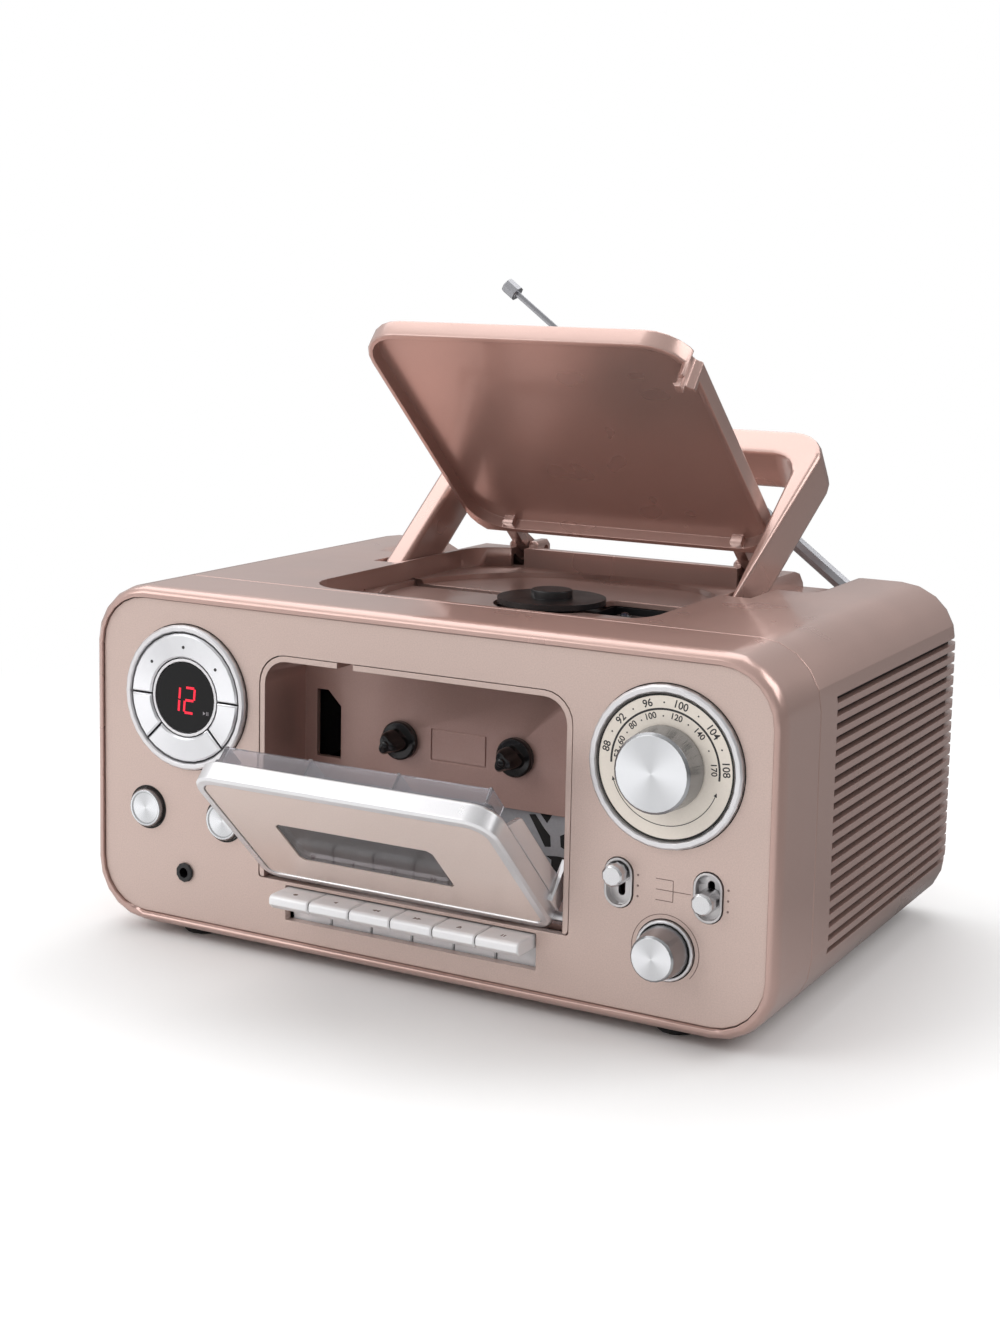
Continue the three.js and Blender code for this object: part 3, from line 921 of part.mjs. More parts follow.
// Loudspeakers: a basket with its magnet, and the cone set in it
for (const [side, sign] of [['left', -1], ['right', 1]]) {
  const faceX = cabinet.width * half - cabinet.wall - fit;
  const place = (body) => (sign < 0 ? body.mirror([1, 0, 0]) : body);
  const rimX = faceX - speaker.sheet;
  const magnetX = faceX - speaker.deep;
  const magnetTop = magnetX + speaker.magnetDeep;
  const sheet = speaker.sheet;
  addPiece(`speaker_basket_${side}`, place(turned([[0, magnetX], [speaker.magnet, magnetX],
    [speaker.magnet, magnetTop], [speaker.basket, magnetTop + sheet], [speaker.surround, rimX - sheet],
    [speaker.radius, rimX - sheet], [speaker.radius, faceX], [speaker.surround, faceX],
    [speaker.surround - sheet, rimX], [speaker.basket - sheet, magnetTop + 2 * sheet], [0, magnetTop + 2 * sheet]],
  'x', 0, speaker.y, speaker.z, facets.dial)), looks.steel);
  const coneRim = speaker.surround - sheet - 2 * run;
  const coneEnd = faceX - speaker.coneDeep;
  addPiece(`speaker_cone_${side}`, place(turned([[0, coneEnd], [speaker.coil, coneEnd], [speaker.cone, rimX - fit],
    [coneRim, rimX - fit], [coneRim, faceX - fit], [speaker.cone, faceX - fit],
    [speaker.coil, coneEnd + sheet], [speaker.dust, coneEnd + 2 * sheet], [0, coneEnd + 2 * sheet + bite]], 'x', 0,
  speaker.y, speaker.z, facets.dial)), looks.cone);
}

// Battery door: a plate whose lower edge is rounded about its hinge pins
{
  const [y0, y1] = [rearY - battery.doorThick, rearY];
  const z0 = battery.bottom + fit + battery.round;
  const z1 = battery.top - fit;
  const pivotY = rearY - battery.round;
  const side = new THREE.Shape();
  side.moveTo(y1, z1);
  side.lineTo(y0, z1);
  side.lineTo(y0, z0 + battery.round);
  side.absarc(pivotY, z0, battery.round, Math.PI - half, 2 * Math.PI);
  side.lineTo(y1, z1);
  const reach = battery.width * half - fit;
  const plate = extrude(side, 'x', -reach, reach, facets.oval);
  const pin = rod(battery.pin, 'x', 0, pivotY, z0, -reach - battery.pinOut, reach + battery.pinOut);
  const gripTop = z1 - battery.gripHeight;
  const grip = extrude(rounded(battery.gripWidth, battery.gripHeight, battery.gripHeight * half - bite, 0,
    gripTop - battery.gripHeight), 'y', rearY - battery.gripDeep, rearY + over);
  const trimmed = plate.intersect(extrude(batteryOutline(-fit), 'y', y0 - over, y1 + over, facets.edge));
  addPiece('battery_door', cut(join(trimmed, pin), grip), looks.rose);
}

// Mains socket: a recessed two-pin inlet
{
  const outline = (inset) => rounded(socket.width - 2 * inset, socket.height - 2 * inset, socket.radius - inset,
    socket.x, socket.z);
  const body = extrude(outline(0), 'y', rearY - socket.deep, rearY + fit + bite);
  const flange = extrude(outline(-socket.lip), 'y', rearY + fit, rearY + fit + socket.lipThick);
  const hollow = extrude(outline(socket.wall), 'y', rearY - socket.deep + socket.wall, rearY + over + socket.lipThick);
  const pins = [-1, 1].map((side) => rod(socket.pin, 'y', socket.x + side * socket.pinSpan * half, 0, socket.z,
    rearY - socket.deep + socket.wall * half, rearY - socket.deep + socket.wall + socket.pinLength));
  addPiece('mains_socket', join(cut(join(body, flange), hollow), ...pins), looks.black);
}

// Telescopic aerial: a turning yoke, and three tubes that slide into each other along its local -X
{
  const rest = pivotGroup(aerial.x, rearY + aerial.out, aerial.z, 'y', degrees(aerial.rest));
  const baseY = aerial.bossOut + fit - aerial.out;
  const baseEnd = baseY + aerial.baseThick;
  const base = rod(aerial.base, 'y', 0, 0, 0, baseY, baseEnd, facets.hole);
  const stalk = rod(aerial.stalk, 'y', 0, 0, 0, baseY - aerial.stalkLength, baseY + bite);
  const eye = aerial.eye;
  const cheeks = [-1, 1].map((side) => {
    const [a, b] = [aerial.cheekGap, aerial.cheekGap + aerial.cheek].map((at) => side * at);
    const round = rod(eye, 'z', 0, 0, 0, Math.min(a, b), Math.max(a, b));
    return join(round, box(-eye, eye, baseEnd - bite, 0, Math.min(a, b), Math.max(a, b)));
  });
  const pinReach = aerial.cheekGap + bite;
  const pin = rod(aerial.pin, 'z', 0, 0, 0, -pinReach, pinReach);
  addPiece('aerial_yoke', join(base, stalk, ...cheeks, pin), looks.chrome, rest);

  const flat = aerial.flat * half;
  const knuckle = join(rod(eye, 'z', 0, 0, 0, -flat, flat), box(-aerial.root, 0, -eye * half, eye * half, -flat, flat));
  const neck = cut(knuckle, rod(aerial.pin + fit, 'z', 0, 0, 0, -flat - over, flat + over));
  const tube = (radius, bore, from, to, floor) => turned([[0, from], [radius, from], [radius, to], [bore, to],
    [bore, from + floor], [0, from + floor]], 'x', 0, 0, 0, facets.rod).mirror([1, 0, 0]);
  addPiece('aerial_tube_lower', join(neck, tube(aerial.tube, aerial.tubeBore, aerial.root - bite, aerial.tubeEnd,
    over)), looks.chrome, rest);
  addPiece('aerial_tube_middle', tube(aerial.middle, aerial.middleBore, aerial.tubeEnd - aerial.overlap,
    aerial.middleEnd, over), looks.chrome, rest);
  const tipStart = aerial.middleEnd - aerial.overlap;
  const capStart = aerial.tipEnd - aerial.capLength;
  addPiece('aerial_tip', turned([[0, tipStart], [aerial.tip, tipStart], [aerial.tip, capStart], [aerial.cap, capStart],
    [aerial.cap, aerial.tipEnd - bite], [aerial.cap - bite, aerial.tipEnd], [0, aerial.tipEnd]], 'x', 0, 0, 0,
  facets.rod).mirror([1, 0, 0]), looks.chrome, rest);
}

export default radio;
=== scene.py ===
"""Looks of the radio with a cassette deck and a CD player: finishes, print, cloth, camera and light.

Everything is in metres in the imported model's frame: +Z up, the front faces -Y.
"""
import json
import math

import bmesh
import bpy
from mathutils import Matrix, Vector


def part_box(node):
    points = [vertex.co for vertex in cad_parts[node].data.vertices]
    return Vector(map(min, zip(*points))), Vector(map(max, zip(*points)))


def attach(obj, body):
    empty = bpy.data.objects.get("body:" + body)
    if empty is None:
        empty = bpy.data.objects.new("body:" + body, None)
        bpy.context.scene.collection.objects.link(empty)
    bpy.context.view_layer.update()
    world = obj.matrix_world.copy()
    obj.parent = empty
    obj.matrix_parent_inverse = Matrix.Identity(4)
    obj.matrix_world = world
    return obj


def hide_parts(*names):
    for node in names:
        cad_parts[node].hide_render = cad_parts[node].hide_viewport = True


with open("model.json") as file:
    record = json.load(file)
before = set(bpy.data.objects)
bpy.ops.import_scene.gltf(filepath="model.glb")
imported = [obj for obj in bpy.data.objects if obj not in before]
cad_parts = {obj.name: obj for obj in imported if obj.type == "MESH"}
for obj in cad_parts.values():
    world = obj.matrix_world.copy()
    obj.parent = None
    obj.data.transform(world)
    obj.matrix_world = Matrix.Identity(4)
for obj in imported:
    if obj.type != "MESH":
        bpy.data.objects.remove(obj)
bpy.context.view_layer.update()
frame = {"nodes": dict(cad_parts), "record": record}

MM = 0.001
WELD = 0.00001          # vertices of a solid closer than this are one


# Colours, as linear values
def srgb(red, green, blue):
    """A linear colour from three values between 0 and 255."""
    def linear(value):
        share = value / 255
        return share / 12.92 if share <= 0.04045 else ((share + 0.055) / 1.055) ** 2.4
    return (linear(red), linear(green), linear(blue), 1.0)


ROSE = srgb(192, 160, 151)
ROSE_LIGHT = srgb(206, 183, 174)
ALUMINIUM = srgb(226, 227, 230)
CREAM = srgb(238, 228, 216)
INK = srgb(45, 42, 44)
BLACK = srgb(22, 22, 24)
STEEL = srgb(186, 188, 192)
DISPLAY_RED = srgb(225, 22, 50)


# Materials. Scales are in waves per metre, depths and edge radii in metres
NOISE_LOW, NOISE_HIGH = 0.3, 0.7
EDGE_SAMPLES = 6
PEEL_STRENGTH, PEEL_DEPTH = 0.05, 0.0002
PAINT_PEEL, KEY_PEEL = 600.0, 700.0
THIN_EDGE = 0.0003
PAINTED_FAN_TURN, PAINTED_FAN_PEAK = -0.5, 1.12         # where the painted highlight fan of turned metal points, and its level
FACE_NORMALS = (-0.97, -0.75)           # a face that looks forward ends between these normals


class Shader:
    """A node material with a Principled shader, object coordinates and short ways to add nodes."""

    def __init__(self, name, color, metallic=0.0, roughness=0.5, **sockets):
        self.material = bpy.data.materials.new(name)
        self.material.use_nodes = True
        self.tree = self.material.node_tree
        self.bsdf = self.tree.nodes["Principled BSDF"]
        self.set(self.bsdf, {"Base Color": color, "Metallic": metallic, "Roughness": roughness, **sockets})
        self.place = self.node("ShaderNodeTexCoord").outputs["Object"]

    @staticmethod
    def set(node, values):
        for socket, value in values.items():
            node.inputs[socket].default_value = value

    def node(self, kind, inputs=None, **settings):
        made = self.tree.nodes.new(kind)
        for key, value in settings.items():
            setattr(made, key, value)
        for socket, value in (inputs or {}).items():
            if isinstance(value, bpy.types.NodeSocket):
                self.tree.links.new(value, made.inputs[socket])
            else:
                made.inputs[socket].default_value = value
        return made

    def link(self, output, socket):
        self.tree.links.new(output, self.bsdf.inputs[socket])

    def noise(self, scale, detail=3.0, roughness=0.5):
        inputs = {"Vector": self.place, "Scale": scale, "Detail": detail, "Roughness": roughness}
        return self.node("ShaderNodeTexNoise", inputs).outputs["Fac"]

    def remap(self, value, low, high, to_low, to_high):
        inputs = {"Value": value, "From Min": low, "From Max": high, "To Min": to_low, "To Max": to_high}
        return self.node("ShaderNodeMapRange", inputs).outputs["Result"]

    def vary(self, noise, to_low, to_high):
        """The middle of a noise's range, where most of its values lie, spread from one number to another."""
        return self.remap(noise, NOISE_LOW, NOISE_HIGH, to_low, to_high)

    def math(self, operation, *values):
        return self.node("ShaderNodeMath", dict(enumerate(values)), operation=operation).outputs["Value"]

    def vector(self, operation, *values):
        made = self.node("ShaderNodeVectorMath", dict(enumerate(values)), operation=operation)
        return made.outputs["Vector"]

    def length(self, vector):
        return self.node("ShaderNodeVectorMath", {0: vector}, operation="LENGTH").outputs["Value"]

    def split(self, vector):
        return self.node("ShaderNodeSeparateXYZ", {0: vector}).outputs

    def shade(self, color, amount):
        """The colour made lighter or darker by a factor that varies over the surface."""
        mix = self.node("ShaderNodeVectorMath", {0: tuple(color[:3])}, operation="SCALE")
        self.tree.links.new(amount, mix.inputs["Scale"])
        return mix.outputs["Vector"]

    def bump(self, height, strength, distance, under=None):
        inputs = {"Height": height, "Strength": strength, "Distance": distance}
        if under:
            inputs["Normal"] = under
        return self.node("ShaderNodeBump", inputs).outputs["Normal"]

    def soften(self, radius):
        """Rounds the shading of sharp edges, as moulded plastic and pressed metal have."""
        return self.node("ShaderNodeBevel", {"Radius": radius}, samples=EDGE_SAMPLES).outputs["Normal"]

    def peel(self, scale, edge):
        """The faint orange peel of sprayed paint over softened edges."""
        return self.bump(self.noise(scale, 2.0), PEEL_STRENGTH, PEEL_DEPTH, self.soften(edge))


def lacquer(name, color, grain, grain_depth, roughness, metallic, edge, coat=0.35):
    """Metallic paint: fine flakes in the colour, a faint orange peel and a clear coat."""
    s = Shader(name, color, metallic, roughness, **{"Coat Weight": coat, "Coat Roughness": 0.1})
    flakes = s.noise(grain, 2.0, 0.7)
    s.link(s.shade(color, s.vary(flakes, 1 - grain_depth, 1 + grain_depth)), "Base Color")
    s.link(s.vary(s.noise(40.0, 2.0), roughness - 0.03, roughness + 0.04), "Roughness")
    s.link(s.bump(flakes, 0.12, 0.00005, s.peel(PAINT_PEEL, edge)), "Normal")
    return s.material


def key_paint(name, color, seam):
    """White gloss lacquer with painted shade: its colour turns dark inside the narrow seams between
    neighbours, where shade falls.
    """
    s = Shader(name, color, 0.05, 0.3, **{"Coat Weight": 0.3, "Coat Roughness": 0.12})
    open_air = s.node("ShaderNodeAmbientOcclusion", {"Distance": seam}, samples=EDGE_SAMPLES).outputs["AO"]
    # Painted shade: ambient occlusion darkens the colour in seams and crevices.
    painted_seam_shade = s.remap(open_air, 0.12, 0.42, 0.03, 1.0)
    even = s.vary(s.noise(900.0, 2.0), 0.985, 1.0)
    s.link(s.shade(color, s.math("MULTIPLY", painted_seam_shade, even)), "Base Color")
    s.link(s.peel(KEY_PEEL, THIN_EDGE), "Normal")
    return s.material


def bay_paint(name, inside, edge_color, edge_y):
    """The lacquer of the cassette bay, which changes to that of the panel on its front edge."""
    s = Shader(name, inside, 0.4, 0.4, **{"Coat Weight": 0.3, "Coat Roughness": 0.12})
    share = s.remap(s.split(s.place)["Y"], edge_y, edge_y + 0.0004, 1.0, 0.0)
    inputs = {"Factor": share, 6: tuple(inside), 7: tuple(edge_color)}
    tint = s.node("ShaderNodeMix", inputs, data_type="RGBA")
    mixed = s.node("ShaderNodeVectorMath", {0: tint.outputs[2]}, operation="SCALE")
    s.tree.links.new(s.vary(s.noise(3600.0, 2.0, 0.7), 0.95, 1.05), mixed.inputs["Scale"])
    s.link(mixed.outputs["Vector"], "Base Color")
    s.link(s.peel(PAINT_PEEL, THIN_EDGE), "Normal")
    return s.material


def plated(name, color, roughness, edge, wear=0.05):
    """Plated plastic or polished metal with faint smudges."""
    s = Shader(name, color, 1.0, roughness)
    smudges = s.noise(90.0, 4.0, 0.6)
    s.link(s.remap(smudges, 0.35, 0.7, roughness - wear * 0.5, roughness + wear), "Roughness")
    s.link(s.shade(color, s.vary(s.noise(25.0, 3.0), 0.96, 1.03)), "Base Color")
    s.link(s.soften(edge), "Normal")
    return s.material


def spun_with_painted_fan(name, color, centre, painted_fan_low=0.8, side=0.5, ring=5200.0, roughness=0.26):
    """Turned aluminium about an axis along Y: fine rings, with a painted highlight fan and a painted darker
    side in the colour.
    """
    s = Shader(name, color, 1.0, roughness, **{"Anisotropic": 0.7})
    offset = s.vector("SUBTRACT", s.place, tuple(centre))
    flat = s.vector("MULTIPLY", offset, (1.0, 0.0, 1.0))
    parts = s.split(flat)
    # Painted highlight: lighter and darker sectors round the axis, fixed to the object, stand in for the
    # light on turned metal.
    angle = s.math("ARCTAN2", parts["Z"], parts["X"])
    painted_fan = s.math("COSINE", s.math("MULTIPLY_ADD", angle, 2.0, PAINTED_FAN_TURN))
    outward = s.split(s.node("ShaderNodeNewGeometry").outputs["True Normal"])["Y"]
    face = s.remap(outward, *FACE_NORMALS, 1.0, 0.0)
    painted_highlight = s.remap(painted_fan, -0.9, 0.9, painted_fan_low, PAINTED_FAN_PEAK)
    # Painted shade: faces that do not look forward take the fixed darker level given as side.
    painted_light_level = s.node("ShaderNodeMix", {"Factor": face, 2: side, 3: painted_highlight}).outputs[0]
    s.link(s.shade(color, painted_light_level), "Base Color")
    inputs = {"W": s.length(flat), "Scale": ring, "Detail": 1.0}
    rings = s.node("ShaderNodeTexNoise", inputs, noise_dimensions="1D").outputs["Fac"]
    s.link(s.bump(s.math("MULTIPLY", rings, face), 0.16, 0.00003, s.soften(THIN_EDGE)), "Normal")
    radial = s.node("ShaderNodeVectorTransform", {"Vector": flat}, vector_type="VECTOR",
                    convert_from="OBJECT", convert_to="WORLD")
    s.link(radial.outputs["Vector"], "Tangent")
    return s.material


def plastic(name, color, roughness, edge=0.0002, grain=900.0, depth=0.04, gloss=0.5):
    """Moulded plastic with a fine spark-eroded grain."""
    s = Shader(name, color, 0.0, roughness, **{"Specular IOR Level": gloss})
    texture = s.noise(grain, 3.0, 0.6)
    s.link(s.shade(color, s.vary(texture, 1 - depth, 1 + depth)), "Base Color")
    s.link(s.vary(s.noise(60.0, 3.0), roughness * 0.85, roughness * 1.15), "Roughness")
    s.link(s.bump(texture, 0.08, 0.0001, s.soften(edge)), "Normal")
    return s.material


def clear(name, color, roughness, ior=1.49, through=1.0):
    """Clear moulded plastic with faint flow lines."""
    s = Shader(name, color, 0.0, roughness, **{"Transmission Weight": through, "IOR": ior})
    flow = s.noise(120.0, 3.0, 0.5)
    s.link(s.bump(flow, 0.06, 0.0003, s.soften(THIN_EDGE)), "Normal")
    s.link(s.vary(flow, roughness, roughness + 0.05), "Roughness")
    return s.material


def glow(name, color, strength):
    """A lit segment of the display, very slightly uneven."""
    s = Shader(name, color, 0.0, 0.4, **{"Emission Color": color, "Emission Strength": strength})
    s.link(s.shade(color, s.vary(s.noise(300.0, 1.0), 0.9, 1.1)), "Base Color")
    return s.material


def mesh_cloth(name):
    """Black acoustic cloth: an even weave of fine threads with dark holes."""
    s = Shader(name, BLACK, 0.0, 0.9)
    threads = {"Vector": s.place, "Scale": 420.0}
    warp = s.node("ShaderNodeTexWave", threads, bands_direction="Z").outputs["Fac"]
    weft = s.node("ShaderNodeTexWave", threads, bands_direction="Y").outputs["Fac"]
    weave = s.math("MULTIPLY", warp, weft)
    s.link(s.shade(srgb(70, 58, 56), s.remap(weave, 0.0, 1.0, 0.25, 1.0)), "Base Color")
    s.link(s.bump(weave, 0.6, 0.0002), "Normal")
    return s.material


def print_ink(name, color):
    """Pad-printed ink, very slightly uneven."""
    s = Shader(name, color, 0.0, 0.5)
    s.link(s.shade(color, s.vary(s.noise(2500.0, 2.0), 0.85, 1.2)), "Base Color")
    return s.material


def paper(name, color):
    """A printed scale under a satin film."""
    s = Shader(name, color, 0.0, 0.38, **{"Coat Weight": 0.3, "Coat Roughness": 0.2})
    s.link(s.shade(color, s.vary(s.noise(1500.0, 4.0, 0.7), 0.97, 1.02)), "Base Color")
    return s.material


def centre_of(node):
    low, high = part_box(node)
    return (low + high) / 2


ROSE_PAINT = lacquer("rose_paint", ROSE, 4200.0, 0.04, 0.3, 0.55, 0.0005, 0.45)
PANEL_PAINT = lacquer("panel_paint", ROSE_LIGHT, 2200.0, 0.075, 0.42, 0.45, 0.0003)
DOOR_PAINT = lacquer("door_paint", srgb(228, 209, 200), 2400.0, 0.04, 0.36, 0.35, 0.0003)
SILVER_PAINT = lacquer("silver_paint", srgb(228, 227, 229), 3000.0, 0.02, 0.3, 0.8, 0.0004, 0.4)
SATIN_SILVER = lacquer("satin_silver", srgb(226, 224, 226), 3600.0, 0.03, 0.3, 0.75, 0.0003, 0.25)
CUP_PLATE = plated("cup_plate", srgb(206, 203, 203), 0.42, 0.0003)
KNOB_PLATE = plated("knob_plate", srgb(214, 214, 216), 0.2, 0.0003)
CHROME = plated("chrome_plate", srgb(232, 232, 234), 0.08, 0.0002, 0.03)
STEEL_SHEET = lacquer("steel_sheet", STEEL, 900.0, 0.06, 0.42, 0.6, 0.0002, 0.0)
# Deck keys: white lacquer with painted shade in the seams between them.
PEARL = key_paint("pearl_paint", srgb(248, 248, 250), 0.9 * MM)
BLACK_PLASTIC = plastic("black_plastic", BLACK, 0.38)
BLACK_GLASS = plastic("display_glass", srgb(9, 8, 10), 0.05, grain=300.0, depth=0.02, gloss=0.25)
GLOSS_BLACK = plastic("gloss_black", srgb(16, 15, 16), 0.14, grain=400.0, depth=0.03)
PAPER_CONE = plastic("cone_paper", srgb(40, 37, 37), 0.85, grain=500.0, depth=0.2)
# Black rubber for the feet and the pinch roller; the same material also paints the shade in the control gaps
# and the deck's openings.
RUBBER_AND_PAINTED_SHADE = plastic("foot_rubber_and_painted_shade", srgb(34, 33, 33), 0.8, grain=700.0, depth=0.15)
SCALE_PLATE = paper("scale_plate", CREAM)
BAY_PAINT = bay_paint("bay_paint", srgb(186, 152, 143), ROSE_LIGHT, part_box("cassette_bay")[0].y)
CLEAR = clear("clear_plastic", srgb(206, 204, 210), 0.05, through=0.86)
SMOKE = clear("smoked_plastic", srgb(140, 136, 138), 0.08)
LENS = clear("lens_glass", srgb(150, 170, 220), 0.02)
CLOTH = mesh_cloth("grille_cloth")
SCALE_INK = print_ink("scale_ink", INK)
PANEL_INK = print_ink("panel_ink", srgb(120, 98, 92))
LIT = glow("lit_segment", DISPLAY_RED, 0.85)
TUBE_STEEL = plated("tube_steel", srgb(158, 158, 162), 0.3, 0.0002)
UNLIT = print_ink("display_print", srgb(150, 145, 150))

FINISHES = {
    "front_bezel": ROSE_PAINT, "rear_cabinet": ROSE_PAINT, "cd_lid": ROSE_PAINT,
    "carry_handle": ROSE_PAINT, "battery_door": ROSE_PAINT,
    "front_panel": PANEL_PAINT, "door_panel": DOOR_PAINT, "cassette_bay": BAY_PAINT,
    "pad_ring": SATIN_SILVER, "display_window": BLACK_GLASS, "line_in_socket": BLACK_PLASTIC,
    "selector_cup_left": CUP_PLATE, "selector_cup_right": CUP_PLATE, "volume_ring": SATIN_SILVER,
    "dial_bezel": SATIN_SILVER, "dial_plate": SCALE_PLATE, "cassette_door": SILVER_PAINT,
    "cassette_holder": CLEAR, "door_window": SMOKE,
    "deck_chassis": STEEL_SHEET, "head_bar": STEEL_SHEET, "capstan": CHROME, "pinch_roller": RUBBER_AND_PAINTED_SHADE,
    "key_shaft": STEEL_SHEET, "cd_turntable": BLACK_PLASTIC, "cd_chassis": BLACK_PLASTIC,
    "laser_sled": BLACK_PLASTIC, "mains_socket": BLACK_PLASTIC,
    "sled_rail_front": CHROME, "sled_rail_rear": CHROME,
    "selector_knob_left": KNOB_PLATE, "selector_knob_right": KNOB_PLATE,
}
# Pad keys: turned metal with a gentle painted highlight fan and a slightly darker painted side.
PAD_METAL = spun_with_painted_fan("pad_metal", srgb(238, 238, 241), centre_of("display_window"), 0.84, 0.8, 2600.0, 0.32)
for count in range(1, 5):
    FINISHES[f"pad_key_{count}"] = PAD_METAL
for count in range(1, 7):
    FINISHES[f"deck_key_{count}"] = PEARL
for side in ("left", "right"):
    FINISHES[f"speaker_basket_{side}"] = STEEL_SHEET
    FINISHES[f"speaker_cone_{side}"] = PAPER_CONE
    for row in ("front", "rear"):
        FINISHES[f"foot_{row}_{side}"] = RUBBER_AND_PAINTED_SHADE
for stage in ("yoke", "tube_lower", "tube_middle", "tip"):
    FINISHES[f"aerial_{stage}"] = TUBE_STEEL
# Knobs and buttons: turned aluminium with a painted highlight fan and a painted darker side.
for knob in ("tuning_knob", "volume_knob", "play_button", "stop_button"):
    FINISHES[knob] = spun_with_painted_fan(f"spun_{knob}", ALUMINIUM, centre_of(knob))


# Pieces
FLAT_ANGLE = 0.4                # degrees between faces that count as one flat
ARC_STEP, DOT_CORNERS = 4, 24   # degrees for each step of a band, corners of a dot
PRINT_THICK = 0.00006


def body_of(node):
    for body, members in frame["record"]["behaviour"]["bodies"].items():
        if node in members:
            return body
    raise KeyError(node)


def smooth(mesh, crease):
    """Smooth shading that breaks at edges sharper than the crease angle."""
    mesh.polygons.foreach_set("use_smooth", [True] * len(mesh.polygons))
    mesh.set_sharp_from_angle(angle=math.radians(crease))


def dress(node, crease=32.0):
    """A twin of a CAD node with smooth rounds and clean flats. It replaces the node."""
    mesh = frame["nodes"][node].data.copy()
    mesh.name = "shell_" + node
    work = bmesh.new()
    work.from_mesh(mesh)
    bmesh.ops.remove_doubles(work, verts=work.verts, dist=WELD)
    bmesh.ops.dissolve_limit(work, angle_limit=math.radians(FLAT_ANGLE), verts=work.verts, edges=work.edges)
    work.to_mesh(mesh)
    work.free()
    mesh.materials.clear()
    mesh.materials.append(FINISHES[node])
    smooth(mesh, crease)
    piece = bpy.data.objects.new("shell_" + node, mesh)
    bpy.context.scene.collection.objects.link(piece)
    weights = piece.modifiers.new("flats", "WEIGHTED_NORMAL")
    weights.keep_sharp = True
    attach(piece, body_of(node))
    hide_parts(node)
    return piece


def add_piece(name, mesh, material, body, crease=32.0):
    mesh.materials.append(material)
    smooth(mesh, crease)
    piece = bpy.data.objects.new(name, mesh)
    bpy.context.scene.collection.objects.link(piece)
    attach(piece, body)
    return piece


def mesh_from(name, build):
    work = bmesh.new()
    build(work)
    bmesh.ops.recalc_face_normals(work, faces=work.faces)
    mesh = bpy.data.meshes.new(name)
    work.to_mesh(mesh)
    work.free()
    return mesh


def prism(work, outline, back, front):
    """A thin plate with the given outline of (x, z) points, from one depth to another along Y."""
    rings = [[work.verts.new((x, y, z)) for x, z in outline] for y in (back, front)]
    work.faces.new(rings[0])
    work.faces.new(reversed(rings[1]))
    count = len(outline)
    for i in range(count):
        j = (i + 1) % count
        work.faces.new((rings[0][i], rings[1][i], rings[1][j], rings[0][j]))


def arc_points(centre, radius, start, end, steps):
    """Points along an arc in the plane of the front. Angles are degrees, counted from +X towards +Z."""
    angles = [math.radians(start + (end - start) * i / steps) for i in range(steps + 1)]
    return [(centre[0] + radius * math.cos(a), centre[1] + radius * math.sin(a)) for a in angles]


def point_on(centre, radius, angle):
    return arc_points(centre, radius, angle, angle, 1)[0]


def arc_band(centre, radius, width, start, end):
    """The outline of a curved line of constant width."""
    steps = max(2, round(abs(end - start) / ARC_STEP))
    outer = arc_points(centre, radius + width / 2, start, end, steps)
    inner = arc_points(centre, radius - width / 2, end, start, steps)
    return outer + inner


def ring_halves(centre, inner, outer):
    """The outlines of the two halves of a flat ring."""
    middle, width = (inner + outer) / 2, outer - inner
    return [arc_band(centre, middle, width, 0, 180), arc_band(centre, middle, width, 180, 360)]


def dot(centre, radius):
    return arc_points(centre, radius, 0, 360 - 360 / DOT_CORNERS, DOT_CORNERS - 1)


def line(start, end, width):
    """The outline of a straight line of constant width."""
    along = Vector(end) - Vector(start)
    across = Vector((-along.y, along.x)).normalized() * (width / 2)
    a, b = Vector(start), Vector(end)
    return [tuple(a + across), tuple(a - across), tuple(b - across), tuple(b + across)]


def printed(name, outlines, surface, material, body, thick=PRINT_THICK):
    """Print on a surface that faces -Y: one thin plate for each outline."""
    def build(work):
        for outline in outlines:
            prism(work, outline, surface + thick / 2, surface - thick)
    return add_piece(name, mesh_from(name, build), material, body)


# CAD nodes that stay as they are, and twins for the rest
KEPT = {"front_panel", "deck_chassis", "key_shaft", "sled_rail_front", "sled_rail_rear", "cd_chassis",
        "laser_sled", "mains_socket", "battery_door", "display_window", "line_in_socket", "head_bar"}
KEPT |= {node for node in FINISHES if node.startswith(("foot_", "speaker_"))}
for node, finish in FINISHES.items():
    if node in KEPT:
        frame["nodes"][node].material_slots[0].material = finish
    else:
        dress(node)


# Tape spindles: a collar and a thick shaft with three round lobes that narrows to a small tip
SPINDLE_STEPS, LOBES, LOBE_TURN, SPINDLE_CREASE = 48, 3, 0.5, 40.0
COLLAR_IN = 2.3 * MM            # from the rear of the bay to the back of the collar
# Rows of (depth in mm, share of the radius, share of the lobes), from the collar's back and from the tip
COLLAR_ROWS = [(0.0, 1.0, 0), (-1.6, 1.0, 0), (-2.2, 0.92, 0), (-2.3, 0.62, 0.1), (-3.2, 0.55, 0.2)]
TIP_ROWS = [(2.4, 0.5, 0.24), (1.2, 0.4, 0.2), (1.0, 0.24, 0), (0.2, 0.2, 0), (0.0, 0.14, 0)]


